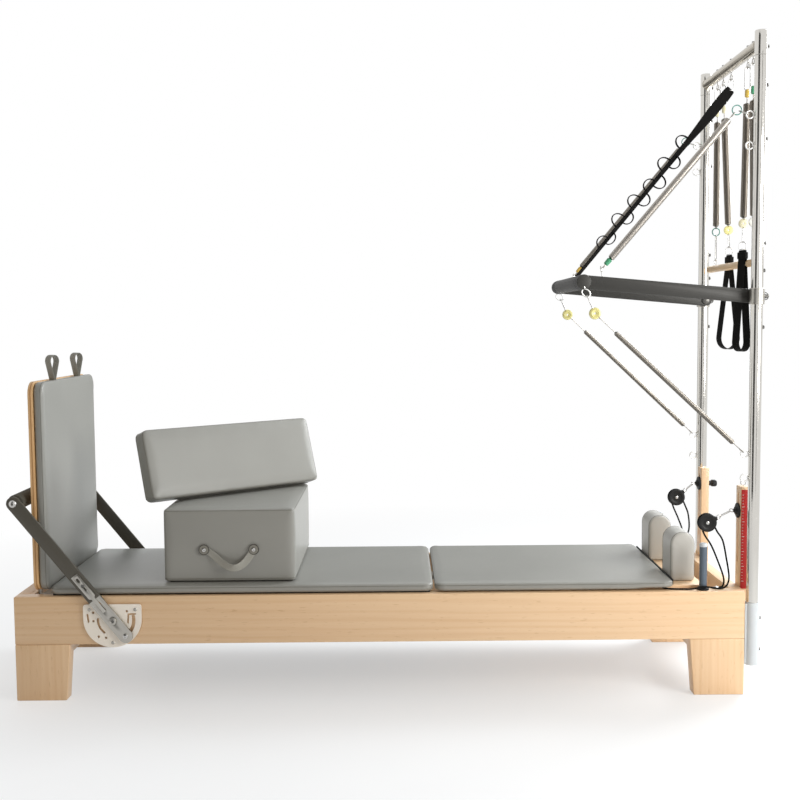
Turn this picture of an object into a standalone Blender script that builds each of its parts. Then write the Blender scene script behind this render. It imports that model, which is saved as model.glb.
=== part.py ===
"""Pilates reformer with a tower, as separate parts at their real size.

Metres, +Z up, the origin on the floor under the middle of the whole machine.
X runs from the foot end to the head end, where the tower stands. The far side is +Y.
"""
import math

import bmesh
import bpy
from mathutils import Matrix, Vector

# Driving dimensions
LENGTH = 2.40
HALF_WIDTH = 0.312
RAIL_TOP = 0.3475
RAIL_BOTTOM = 0.188
RAIL_THICK = 0.045
GAP = 0.0003
FOOT_FACE = -1.2376
HEAD_FACE = FOOT_FACE + LENGTH
INNER_FACE = HALF_WIDTH - RAIL_THICK
SIDES = (("near", -1), ("far", 1))
SMOOTH_BELOW = math.radians(38)

# Legs and end boards
LEG_TOP_WIDTH = 0.180
LEG_FOOT_WIDTH = 0.165
LEG_THICK = 0.050
CROSS_BOARD_THICK = 0.030
CROSS_BOARD_BOTTOM = 0.130
END_BOARD_THICK = 0.040
LEDGE_DEPTH = 0.055
LEDGE_THICK = 0.020

# Tracks, carriage and wheels
TRACK_TOP = 0.262
TRACK_THICK = 0.004
TRACK_WIDTH = 0.030
TRACK_START = 0.075
DECK_HALF = 0.262
DECK_BOTTOM = 0.336
DECK_TOP = 0.3577
WHEEL_RADIUS = 0.024
WHEEL_WIDTH = 0.018
WHEEL_BORE = 0.0064
AXLE_RADIUS = 0.0055
MAT_HALF = 0.3015
MAT_TOP = 0.3795
PAD_BOTTOM = 0.358
CARRIAGE_SPRINGS = 5

# Footbar
ARM_WIDTH = 0.045
ARM_THICK = 0.008
ARM_INNER = 0.3245
ARM_OUTER = ARM_INNER + ARM_THICK
ARM_LENGTH = 0.499
ARM_TAIL = 0.065
GRIP_RADIUS = 0.026
PLATE_INNER = 0.3160
PLATE_OUTER = 0.3200
PIVOT_RADIUS = 0.008
TAIL_PIN_RADIUS = 0.005

# Tower
POST_RADIUS = 0.0192
POST_Y = 0.298
POST_X = FOOT_FACE + 2.427
TOWER_TOP = 2.150
SLEEVE_BOTTOM = 2.072
TOP_TUBE_Z = 2.110
TOP_TUBE_RADIUS = 0.0185
SOCKET_BOTTOM = 0.100
SOCKET_TOP = 0.308
SOCKET_RADIUS = 0.0245
SOCKET_BORE = 0.0197
SOCKET_FLOOR = 0.008
POST_SIDES = 18

# Push-through bar
BAR_PIVOT_Z = 1.3106
PULL_PIN_REACH = 0.036
PULL_PIN_RADIUS = 0.007
BAR_REACH = 0.555
BAR_RISE = 0.0514
BAR_TUBE_RADIUS = 0.0245
BAR_ARM_INNER = 0.2645
BAR_ARM_OUTER = 0.2725
COLLAR_RADIUS = 0.0242
COLLAR_HALF = 0.026
STUD_RADIUS = 0.010

# Hanging springs, rings and straps
EYE_RING = 0.010
EYE_WIRE = 0.004
SMALL_RING = 0.006
LINK_WIRE = 0.003
CLIP_ARC = 0.009
CLIP_LENGTH = 0.058
COLOUR_RING = 0.0135
D_RING = 0.012
D_BAR = 0.0125
LINK_SLACK = 0.0009
LINK_WELD = 0.0010
WIRE_SIDES = 4
SWING_Z = 2.0560
SPRING_TOP = 1.944
SPRING_BOTTOM = 1.577
SPRING_COIL = 0.0090
SPRING_WIRE = 0.0015
PUSH_COIL = 0.0102
PUSH_WIRE = 0.0018
HANG_TURNS = 4
PUSH_TURNS = 6
LOW_TURNS = 3
CURL_POINTS = 8
DOWEL_RADIUS = 0.0125
DOWEL_Z = 1.422
WEBBING_THICK = 0.0026
WEBBING_WIDTH = 0.030
STRAP_TOP = 1.467
STRAP_BOTTOM = 1.128

# Ropes and pulleys
ROPE_RADIUS = 0.003
ROPE_STEP = 0.0180
SHEAVE_RADIUS = 0.0235
SHEAVE_GROOVE = 0.0170
SHEAVE_HALF = 0.006
SHEAVE_BORE = 0.0043
SHEAVE_PIN = 0.0036
CHEEK_RADIUS = 0.031
CHEEK_THICK = 0.002
CHEEK_GAP = 0.0066
RISER_X = (HEAD_FACE + GAP, HEAD_FACE + 0.030)
RISER_Y = 0.2275
RISER_HALF = 0.0245
RISER_TOP = 0.682
RISER_BOTTOM = 0.205
RISER_SLOT = (0.425, 0.662)

LOOKS = {
    "maple": ((0.72, 0.50, 0.31), 0.45, 0.0),
    "plywood": ((0.70, 0.47, 0.25), 0.50, 0.0),
    "upholstery": ((0.36, 0.36, 0.33), 0.60, 0.0),
    "webbing_grey": ((0.42, 0.42, 0.38), 0.80, 0.0),
    "webbing_black": ((0.02, 0.02, 0.02), 0.85, 0.0),
    "olive_steel": ((0.10, 0.09, 0.075), 0.45, 0.3),
    "foam_grip": ((0.09, 0.085, 0.075), 0.80, 0.0),
    "polished_steel": ((0.62, 0.61, 0.58), 0.18, 1.0),
    "brushed_steel": ((0.55, 0.54, 0.50), 0.35, 1.0),
    "spring_steel": ((0.42, 0.39, 0.34), 0.30, 1.0),
    "plate_grey": ((0.64, 0.59, 0.53), 0.45, 0.2),
    "socket_grey": ((0.70, 0.72, 0.73), 0.40, 0.3),
    "bar_grey": ((0.085, 0.080, 0.072), 0.55, 0.1),
    "black_plastic": ((0.02, 0.02, 0.02), 0.50, 0.0),
    "rope_black": ((0.015, 0.015, 0.015), 0.90, 0.0),
    "tyre": ((0.05, 0.05, 0.05), 0.60, 0.0),
}


def clear_scene():
    for item in list(bpy.data.objects):
        bpy.data.objects.remove(item, do_unlink=True)


def look(name):
    """One plain material for each finish of the real machine."""
    made = bpy.data.materials.get(name)
    if made:
        return made
    colour, roughness, metallic = LOOKS[name]
    made = bpy.data.materials.new(name)
    made.use_nodes = True
    shader = made.node_tree.nodes["Principled BSDF"]
    shader.inputs["Base Color"].default_value = (*colour, 1.0)
    shader.inputs["Roughness"].default_value = roughness
    shader.inputs["Metallic"].default_value = metallic
    return made


def along(distance):
    """X of a point at this distance from the foot end's face."""
    return FOOT_FACE + distance


def joint_empty(name, place, parent=None):
    """An empty on a joint's axis, which carries the pieces that move about it."""
    empty = bpy.data.objects.new(name, None)
    bpy.context.collection.objects.link(empty)
    empty.empty_display_size = 0.05
    empty.location = place
    if parent:
        empty.parent = parent
        empty.matrix_parent_inverse = parent.matrix_world.inverted()
    bpy.context.view_layer.update()
    return empty


def carry(piece, empty):
    """Parent a piece to its joint's empty and leave it where it was built."""
    if empty is None:
        return
    piece.parent = empty
    piece.matrix_parent_inverse = empty.matrix_world.inverted()


def mesh_object(name, shape, finish):
    bmesh.ops.recalc_face_normals(shape, faces=shape.faces)
    mesh = bpy.data.meshes.new(name)
    shape.to_mesh(mesh)
    shape.free()
    mesh.shade_smooth()
    mesh.set_sharp_from_angle(angle=SMOOTH_BELOW)
    piece = bpy.data.objects.new(name, mesh)
    bpy.context.collection.objects.link(piece)
    mesh.materials.append(look(finish))
    return piece


def tool_object(name, shape):
    """A shape that a Boolean reads and that isn't a part itself."""
    tool = mesh_object(name, shape, "black_plastic")
    tool.hide_render = True
    tool.display_type = "WIRE"
    return tool


def solid(name, finish, shape, joined=(), cuts=(), empty=None):
    """A named piece: its base shape, what is welded to it and what is cut from it."""
    piece = mesh_object(name, shape, finish)
    for kind, tools in (("UNION", joined), ("DIFFERENCE", cuts)):
        for number, tool in enumerate(tools):
            label = f"{name}.{kind.lower()}.{number}"
            change = piece.modifiers.new(label, "BOOLEAN")
            change.operation = kind
            change.solver = "EXACT"
            change.object = tool_object(label, tool)
    carry(piece, empty)
    return piece


def wire_object(name, finish, paths, radius, resolution, empty=None):
    """Bent wire or rope: poly splines with a round section and filled ends."""
    curve = bpy.data.curves.new(name, "CURVE")
    curve.dimensions = "3D"
    curve.bevel_depth = radius
    curve.bevel_resolution = resolution
    curve.use_fill_caps = True
    for path in paths:
        spline = curve.splines.new("POLY")
        spline.points.add(len(path) - 1)
        for slot, point in zip(spline.points, path):
            slot.co = (*point, 1.0)
    piece = bpy.data.objects.new(name, curve)
    bpy.context.collection.objects.link(piece)
    curve.materials.append(look(finish))
    carry(piece, empty)
    return piece


def basis(direction):
    """Two unit vectors square to a direction and to each other."""
    ahead = Vector(direction).normalized()
    guide = Vector((0.0, 1.0, 0.0)) if abs(ahead.y) < 0.9 else Vector((1.0, 0.0, 0.0))
    side = guide.cross(ahead).normalized()
    return side, ahead.cross(side).normalized()


def loft(shape, rings, closed=False):
    """Skin rings of equally many points. Open ends are capped."""
    made = [[shape.verts.new(point) for point in ring] for ring in rings]
    count = len(made[0])
    pairs = list(zip(made, made[1:]))
    if closed:
        pairs.append((made[-1], made[0]))
    for lower, upper in pairs:
        for index in range(count):
            after = (index + 1) % count
            shape.faces.new((lower[index], lower[after], upper[after], upper[index]))
    if not closed:
        shape.faces.new(list(reversed(made[0])))
        shape.faces.new(made[-1])
    return shape


def circle(centre, direction, radius, sides, turn=0.0):
    side, other = basis(direction)
    points = []
    for index in range(sides):
        angle = turn + math.tau * index / sides
        points.append(Vector(centre) + radius * (math.cos(angle) * side + math.sin(angle) * other))
    return points


def rod(shape, start, end, radius, sides=12, end_radius=None):
    direction = Vector(end) - Vector(start)
    last = radius if end_radius is None else end_radius
    return loft(shape, [circle(start, direction, radius, sides), circle(end, direction, last, sides)])


def turned(shape, centre, direction, profile, sides, ring=False):
    """A turned form from (radius, distance) pairs. A ring's profile closes on itself."""
    ahead = Vector(direction).normalized()
    rings = [circle(Vector(centre) + ahead * step, ahead, radius, sides) for radius, step in profile]
    return loft(shape, rings, closed=ring)


def sweep(shape, path, radius, sides, closed=False):
    """A round wire along a path, its section carried without twist."""
    points = [Vector(point) for point in path]
    count = len(points)
    side = None
    rings = []
    for index, point in enumerate(points):
        before = points[index - 1] if index or closed else point
        after = points[(index + 1) % count] if index < count - 1 or closed else point
        ahead = (after - before).normalized()
        if side is None:
            side = basis(ahead)[0]
        side = (side - ahead * side.dot(ahead)).normalized()
        other = ahead.cross(side)
        ring = []
        for step in range(sides):
            angle = math.tau * step / sides
            ring.append(point + radius * (math.cos(angle) * side + math.sin(angle) * other))
        rings.append(ring)
    return loft(shape, rings, closed=closed)


def box(shape, low, high):
    """A plain block between two corners."""
    outline = [(low[0], low[1]), (high[0], low[1]), (high[0], high[1]), (low[0], high[1])]
    return loft(shape, [[Vector((x, y, z)) for x, y in outline] for z in (low[2], high[2])])


def eased_block(low, high, ease):
    """A sawn board with its edges rounded over."""
    shape = box(bmesh.new(), low, high)
    bmesh.ops.bevel(shape, geom=list(shape.edges), offset=ease, segments=1, affect="EDGES",
                    profile=0.5, clamp_overlap=True)
    return shape


def prism_y(shape, outline, y_low, y_high):
    """An outline in X and Z, given a thickness along Y."""
    return loft(shape, [[Vector((x, y, z)) for x, z in outline] for y in (y_low, y_high)])


def arc(centre_x, centre_z, radius, start, end, steps):
    """Points of an arc in X and Z, with its angles in degrees."""
    points = []
    for step in range(steps + 1):
        angle = math.radians(start + (end - start) * step / steps)
        points.append((centre_x + radius * math.cos(angle), centre_z + radius * math.sin(angle)))
    return points


def slot_outline(start, end, half, steps=4):
    """A straight slot or bar with round ends, between two points in X and Z."""
    turn = math.degrees(math.atan2(end[1] - start[1], end[0] - start[0]))
    return (arc(end[0], end[1], half, turn - 90, turn + 90, steps)
            + arc(start[0], start[1], half, turn + 90, turn + 270, steps))


def rounded_rectangle(half_x, half_y, corner, steps, sag, mids):
    """A rounded rectangle whose sides draw in by a sag between the corners."""
    points = []
    corners = ((1, 1, 0), (-1, 1, 90), (-1, -1, 180), (1, -1, 270))
    for number, (sign_x, sign_y, start) in enumerate(corners):
        centre = (sign_x * (half_x - corner), sign_y * (half_y - corner))
        points += arc(centre[0], centre[1], corner, start, start + 90, steps)
        after = corners[(number + 1) % 4]
        last = points[-1]
        first = (after[0] * (half_x - corner), after[1] * (half_y - corner))
        angle = math.radians(after[2])
        target = (first[0] + corner * math.cos(angle), first[1] + corner * math.sin(angle))
        for mid in range(1, mids + 1):
            part = mid / (mids + 1)
            draw = sag * 4.0 * part * (1.0 - part)
            x = last[0] + (target[0] - last[0]) * part
            y = last[1] + (target[1] - last[1]) * part
            inward = (0.0, -sign_y * draw) if abs(last[1] - target[1]) < 1e-9 else (-sign_x * draw, 0.0)
            points.append((x + inward[0], y + inward[1]))
    return points


def cushion(half_x, half_y, low, high, corner, edge, sag, crown, under=0.0, place=Matrix()):
    """A padded board: round edges, sides drawn in between the corners and a crowned top."""
    levels = []
    if under:
        levels += [(under, low), (under, low + edge * 0.6), (edge * 0.4, low + edge * 0.7)]
    else:
        levels.append((edge * 0.8, low))
    levels += [(0.0, low + edge * 1.2), (0.0, high - edge * 1.1), (edge * 0.35, high - edge * 0.35)]
    levels += [(edge * 1.2, high - crown), (edge * 5.0, high - crown * 0.25)]
    rings = []
    for inset, height in levels:
        radius = max(corner - inset, 0.003)
        outline = rounded_rectangle(half_x - inset, half_y - inset, radius, 2, sag, 2)
        rings.append([place @ Vector((x, y, height)) for x, y in outline])
    top_inset = min(half_x, half_y) * 0.45
    outline = rounded_rectangle(half_x - top_inset, half_y - top_inset, corner * 0.5, 2, 0.0, 2)
    rings.append([place @ Vector((x, y, high)) for x, y in outline])
    return loft(bmesh.new(), rings)


def linked(first_radius, first_wire, second_radius, second_wire, slack=LINK_SLACK):
    """Distance between the centres of two rings that hang one in the other."""
    return first_radius + second_radius - (first_wire + second_wire) / 2 - slack


def ring_path(centre, across, up, radius, steps, opening=0.0):
    """Points round a ring; an opening in degrees leaves the gap of a bent eye."""
    points = []
    spread = math.tau if not opening else math.tau - math.radians(opening)
    total = steps if not opening else steps - 1
    for index in range(steps):
        angle = spread * index / total
        points.append(centre + radius * (math.cos(angle) * across + math.sin(angle) * up))
    return points


def link_path(top, bottom, across, radius, steps=4):
    """A long link: two half rounds joined by straight sides."""
    up = (top - bottom).normalized()
    points = []
    for centre, start in ((top, 0.0), (bottom, math.pi)):
        for index in range(steps + 1):
            angle = start + math.pi * index / steps
            points.append(centre + radius * (math.cos(angle) * across + math.sin(angle) * up))
    return points


def eye_path(foot, centre, up, steps=8):
    """A bent eye: a straight shank that runs into a ring and stops short of closing."""
    across = (foot - centre).normalized()
    return [foot] + ring_path(centre, across, up, EYE_RING, steps, 45)


def coil_path(start, end, turns, radius, phase=0.0):
    """A helix between two points on its axis, with a short straight stem at each end."""
    axis = end - start
    length = axis.length
    ahead = axis.normalized()
    side, other = basis(ahead)
    lead = 0.006
    points = []
    steps = turns * CURL_POINTS
    for index in range(steps + 1):
        angle = phase + math.tau * index / CURL_POINTS
        rise = lead + (length - 2 * lead) * index / steps
        points.append(start + ahead * rise + radius * (math.cos(angle) * side + math.sin(angle) * other))
    return points


def least_gap(path, radius):
    """The smallest clear space between a wire and its own next turns."""
    least = 1.0
    for index, point in enumerate(path):
        for other in path[index + CURL_POINTS // 2 + 1:]:
            least = min(least, (other - point).length - 2 * radius)
    return least


def spring_path(top_ring, body_top, body_bottom, bottom_ring, turns, coil, across, ring=SMALL_RING):
    """One wire from hook to hook: a loop, a stem, the coils, a stem and a loop."""
    up = (body_top - body_bottom).normalized()
    upper = ring_path(top_ring, -up, across, ring, 6, 60)
    lower = ring_path(bottom_ring, up, across, ring, 6, 60)
    coils = coil_path(body_top, body_bottom, turns, coil)
    return list(reversed(upper)) + [body_top] + coils + [body_bottom] + lower


def smooth_path(knots, spacing):
    """An even run of points on a Catmull-Rom curve through the knots."""
    points = [Vector(knot) for knot in knots]
    ends = [2 * points[0] - points[1]] + points + [2 * points[-1] - points[-2]]
    fine = []
    for p0, p1, p2, p3 in zip(ends, ends[1:], ends[2:], ends[3:]):
        for step in range(16):
            t = step / 16
            fine.append(0.5 * (2 * p1 + (p2 - p0) * t + (2 * p0 - 5 * p1 + 4 * p2 - p3) * t * t
                               + (3 * p1 - p0 - 3 * p2 + p3) * t * t * t))
    fine.append(points[-1])
    lengths = [0.0]
    for a, b in zip(fine, fine[1:]):
        lengths.append(lengths[-1] + (b - a).length)
    count = max(2, round(lengths[-1] / spacing))
    even = []
    place = 0
    for index in range(count + 1):
        target = lengths[-1] * index / count
        while place < len(fine) - 2 and lengths[place + 1] < target:
            place += 1
        span = lengths[place + 1] - lengths[place]
        part = (target - lengths[place]) / span if span else 0.0
        even.append(fine[place].lerp(fine[place + 1], min(1.0, part)))
    return even, lengths[-1]


def make_rails_and_boards():
    """The side rails, each with the angle section that the wheels run on, and the end boards."""
    start = along(TRACK_START)
    end = HEAD_FACE - END_BOARD_THICK - 0.005
    wall = INNER_FACE + 0.001
    lip = INNER_FACE - TRACK_WIDTH
    upright = TRACK_TOP + 0.022
    profile = [(wall, TRACK_TOP - TRACK_THICK), (wall, upright), (INNER_FACE - 0.003, upright),
               (INNER_FACE - 0.003, TRACK_TOP), (lip, TRACK_TOP), (lip, TRACK_TOP - TRACK_THICK)]
    for label, sign in SIDES:
        low = (FOOT_FACE, min(sign * INNER_FACE, sign * HALF_WIDTH), RAIL_BOTTOM)
        high = (HEAD_FACE, max(sign * INNER_FACE, sign * HALF_WIDTH), RAIL_TOP)
        track = loft(bmesh.new(), [[Vector((x, sign * y, z)) for y, z in profile] for x in (start, end)])
        solid(f"side_rail_{label}", "maple", eased_block(low, high, 0.003), joined=[track])
    reach = INNER_FACE - GAP
    board = eased_block((FOOT_FACE, -reach, RAIL_BOTTOM), (along(END_BOARD_THICK), reach, RAIL_TOP), 0.002)
    ledge = eased_block((along(END_BOARD_THICK - 0.01), -reach, RAIL_TOP - LEDGE_THICK - 0.001),
                        (along(LEDGE_DEPTH), reach, RAIL_TOP - 0.001), 0.002)
    solid("foot_end_board", "maple", board, joined=[ledge])
    inner = HEAD_FACE - END_BOARD_THICK
    panel = eased_block((inner, -reach, RAIL_BOTTOM), (HEAD_FACE, reach, RAIL_TOP), 0.002)
    solid("head_end_board", "maple", panel)


def make_leg_frame(name, face, inward):
    """Two leg blocks with their tapered inner edge, tied by a cross board."""
    outline = [(face, 0.0), (face, RAIL_BOTTOM - GAP), (face + inward * LEG_TOP_WIDTH, RAIL_BOTTOM - GAP),
               (face + inward * LEG_FOOT_WIDTH, 0.0)]
    inner = HALF_WIDTH - LEG_THICK
    near = prism_y(bmesh.new(), outline, -HALF_WIDTH, -inner)
    far = prism_y(bmesh.new(), outline, inner, HALF_WIDTH)
    for block in (near, far):
        bmesh.ops.recalc_face_normals(block, faces=block.faces)
        bmesh.ops.bevel(block, geom=list(block.edges), offset=0.003, segments=1, affect="EDGES")
    outer = face + inward * (LEG_FOOT_WIDTH - 0.010)
    back = outer - inward * CROSS_BOARD_THICK
    low = (min(outer, back), -inner - 0.006, CROSS_BOARD_BOTTOM)
    high = (max(outer, back), inner + 0.006, RAIL_BOTTOM - 0.004)
    solid(name, "maple", near, joined=[far, eased_block(low, high, 0.002)])


BLADE_Y = 0.225
BLADE_HALF = 0.015
BLADE_BOTTOM = 0.215
PANEL_X = (along(0.0620), along(0.0785))


BRACKET_HALF = 0.250
BRACKET_Z = (0.200, 0.320)
SHELF_HALF = 0.022
SHELF_THICK = 0.006
SPRING_BAR = (along(0.128), 0.300)
SPRING_BAR_ARM_Y = 0.185
SPRING_BAR_RADIUS = 0.008


def make_foot_bracket():
    """A steel plate on the foot board: pockets for the jump board's blades, and the spring bar."""
    wall = along(END_BOARD_THICK) + GAP
    plate = box(bmesh.new(), (wall, -BRACKET_HALF, BRACKET_Z[0]), (wall + 0.003, BRACKET_HALF, BRACKET_Z[1]))
    pockets = []
    for sign in (-1, 1):
        middle = sign * BLADE_Y
        shelf = box(bmesh.new(), (wall + 0.002, middle - SHELF_HALF, BLADE_BOTTOM - SHELF_THICK),
                    (PANEL_X[0] + 0.004, middle + SHELF_HALF, BLADE_BOTTOM - GAP))
        pockets.append(shelf)
    arms = []
    bar_x, bar_z = SPRING_BAR
    for sign in (-1, 1):
        middle = sign * SPRING_BAR_ARM_Y
        arm = box(bmesh.new(), (wall + 0.001, middle - 0.003, bar_z - 0.018),
                  (bar_x + 0.010, middle + 0.003, bar_z + 0.012))
        arms.append(arm)
    reach = SPRING_BAR_ARM_Y + 0.030
    bar = rod(bmesh.new(), (bar_x, -reach, bar_z), (bar_x, reach, bar_z), SPRING_BAR_RADIUS, 12)
    solid("foot_bracket", "brushed_steel", plate, joined=pockets + arms + [bar])


GEAR_CENTRE = (along(0.3245), 0.2755)
GEAR_RADIUS = 0.0955
GEAR_TOP = 0.3235
PIVOT = (along(0.329), 0.271)
GRIP = (along(0.017), 0.660)
SCREWS = ((along(0.250), 0.306), (along(0.400), 0.306), (along(0.3245), 0.196))


def gear_outline():
    """A straight top with small corners, straight sides and a round bottom."""
    x, z = GEAR_CENTRE
    corner = 0.007
    top = GEAR_TOP - corner
    return (arc(x + GEAR_RADIUS - corner, top, corner, 0, 90, 1)
            + arc(x - GEAR_RADIUS + corner, top, corner, 90, 180, 1)
            + arc(x, z, GEAR_RADIUS, 180, 360, 14))


def arc_slot(radius, start, end, half, steps):
    """A curved slot about the pivot, with round ends."""
    outer = arc(PIVOT[0], PIVOT[1], radius + half, start, end, steps)
    inner = arc(PIVOT[0], PIVOT[1], radius - half, end, start, steps)
    return outer + inner


def make_gear_plates():
    """The plates that lock the footbar, on spacers, with its pivot and the tail pin's slot."""
    holes = ((along(0.262), 0.296), (along(0.262), 0.268), (along(0.278), 0.216), (along(0.372), 0.300))
    for label, sign in SIDES:
        low = min(sign * PLATE_INNER, sign * PLATE_OUTER)
        high = max(sign * PLATE_INNER, sign * PLATE_OUTER)
        outward = Vector((0, sign, 0))
        start = sign * (HALF_WIDTH + GAP)
        cuts = []
        for x, z in holes:
            cuts.append(rod(bmesh.new(), (x, low - 0.002, z), (x, high + 0.002, z), 0.004, 6))
        tail_slot = arc_slot(ARM_TAIL, -57, 10, TAIL_PIN_RADIUS + 0.001, 7)
        cuts.append(prism_y(bmesh.new(), tail_slot, low - 0.002, high + 0.002))
        cuts.append(prism_y(bmesh.new(), arc_slot(0.052, 176, 232, 0.0035, 4), low - 0.002, high + 0.002))
        pivot = turned(bmesh.new(), (PIVOT[0], start, PIVOT[1]), outward,
                       [(0.014, 0.0), (0.014, 0.0042), (PIVOT_RADIUS, 0.0042), (PIVOT_RADIUS, 0.0205),
                        (0.013, 0.0205), (0.013, 0.0235), (0.006, 0.0262)], 12)
        joined = [pivot]
        for x, z in SCREWS:
            screw = turned(bmesh.new(), (x, start, z), outward,
                           [(0.006, 0.0), (0.006, 0.0095), (0.004, 0.0108)], 6)
            joined.append(screw)
        plate = prism_y(bmesh.new(), gear_outline(), low, high)
        solid(f"gear_plate_{label}", "plate_grey", plate, joined=joined, cuts=cuts)


def hex_head(centre, direction, radius, height):
    """A bolt's head, sunk a little so that a union joins it to what it sits on."""
    profile = [(radius, -0.002), (radius, height * 0.7), (radius * 0.7, height)]
    return turned(bmesh.new(), centre, direction, profile, 6)


def make_tower():
    """Two posts with their collars, eyes and bolts, the top tube on its sleeves, and the sockets."""
    for label, sign in SIDES:
        y = sign * POST_Y
        low = SOCKET_BOTTOM + SOCKET_FLOOR + GAP
        post = rod(bmesh.new(), (POST_X, y, low), (POST_X, y, SLEEVE_BOTTOM - GAP), POST_RADIUS, POST_SIDES)
        collar = turned(bmesh.new(), (POST_X, y, BAR_PIVOT_Z), (0, 0, 1),
                        [(COLLAR_RADIUS, -COLLAR_HALF), (COLLAR_RADIUS, COLLAR_HALF)], 16)
        face = POST_Y - COLLAR_RADIUS
        stud = turned(bmesh.new(), (POST_X, sign * (face + 0.004), BAR_PIVOT_Z), (0, -sign, 0),
                      [(0.014, 0.0), (0.014, 0.0050), (STUD_RADIUS, 0.0050), (STUD_RADIUS, 0.0138),
                       (0.015, 0.0138),
                       (0.015, 0.0180), (0.010, 0.0205)], 10)
        pin = rod(bmesh.new(), (POST_X + POST_RADIUS, y, BAR_PIVOT_Z),
                  (POST_X + PULL_PIN_REACH, y, BAR_PIVOT_Z), PULL_PIN_RADIUS, 8)
        eyes = []
        for z in POST_EYE_Z:
            foot = Vector((POST_X - POST_RADIUS + 0.004, y, z))
            bent = eye_path(foot, Vector((POST_EYE_X, y, z)), Vector((0, 0, 1)))
            eyes.append(sweep(bmesh.new(), bent, EYE_WIRE / 2, WIRE_SIDES))
        solid(f"tower_post_{label}", "polished_steel", post, joined=[collar, stud, pin] + eyes)
        socket = rod(bmesh.new(), (POST_X, y, SOCKET_BOTTOM), (POST_X, y, SOCKET_TOP), SOCKET_RADIUS, 20)
        plate = box(bmesh.new(), (HEAD_FACE + GAP, y - 0.0137, SOCKET_BOTTOM + 0.004),
                    (HEAD_FACE + 0.012, y + 0.0137, SOCKET_TOP - 0.004))
        bore = rod(bmesh.new(), (POST_X, y, SOCKET_BOTTOM + SOCKET_FLOOR), (POST_X, y, SOCKET_TOP + 0.01),
                   SOCKET_BORE, POST_SIDES)
        solid(f"tower_socket_{label}", "socket_grey", socket, joined=[plate], cuts=[bore])
    fittings = []
    for sign in (-1, 1):
        sleeve = turned(bmesh.new(), (POST_X, sign * POST_Y, SLEEVE_BOTTOM), (0, 0, 1),
                        [(0.0200, 0.0), (0.0200, 0.0760), (0.0175, 0.0780)], POST_SIDES)
        fittings.append(sleeve)
    for y in EYE_Y:
        foot = Vector((POST_X, y, TOP_TUBE_Z - TOP_TUBE_RADIUS + 0.004))
        centre = Vector((POST_X, y, HANG_EYE_Z))
        eye = sweep(bmesh.new(), eye_path(foot, centre, Vector((0, 1, 0))), EYE_WIRE / 2, WIRE_SIDES)
        fittings.append(eye)
    tube = rod(bmesh.new(), (POST_X, -POST_Y, TOP_TUBE_Z), (POST_X, POST_Y, TOP_TUBE_Z), TOP_TUBE_RADIUS, 16)
    solid("tower_top_tube", "polished_steel", tube, joined=fittings)


EYE_Y = (-0.227, -0.175, 0.0, 0.088, 0.153)
POST_EYE_Z = (1.887, 0.800)
POST_EYE_X = POST_X - POST_RADIUS - GAP - 0.0128
HANG_EYE_Z = SWING_Z + linked(EYE_RING, EYE_WIRE, CLIP_ARC, EYE_WIRE)


def make_risers():
    """Slotted boards on the head end, bolted from behind, that carry the pulleys."""
    for label, sign in SIDES:
        y = sign * RISER_Y
        block = eased_block((RISER_X[0], y - RISER_HALF, RISER_BOTTOM),
                            (RISER_X[1], y + RISER_HALF, RISER_TOP), 0.003)
        slot = box(bmesh.new(), (RISER_X[0] - 0.01, y - 0.005, RISER_SLOT[0]),
                   (RISER_X[1] + 0.01, y + 0.005, RISER_SLOT[1]))
        bolts = [hex_head((RISER_X[1], y, z), (1, 0, 0), 0.009, 0.006) for z in (0.232, 0.310)]
        solid(f"riser_{label}", "maple", block, joined=bolts, cuts=[slot])


PULLEYS = {"near": (along(2.296), -RISER_Y, 0.560), "far": (along(2.313), RISER_Y, 0.570)}
CLAMP_Z = {"near": 0.600, "far": 0.622}
CLAMP_EYE_X = RISER_X[0] - 0.0223


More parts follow.
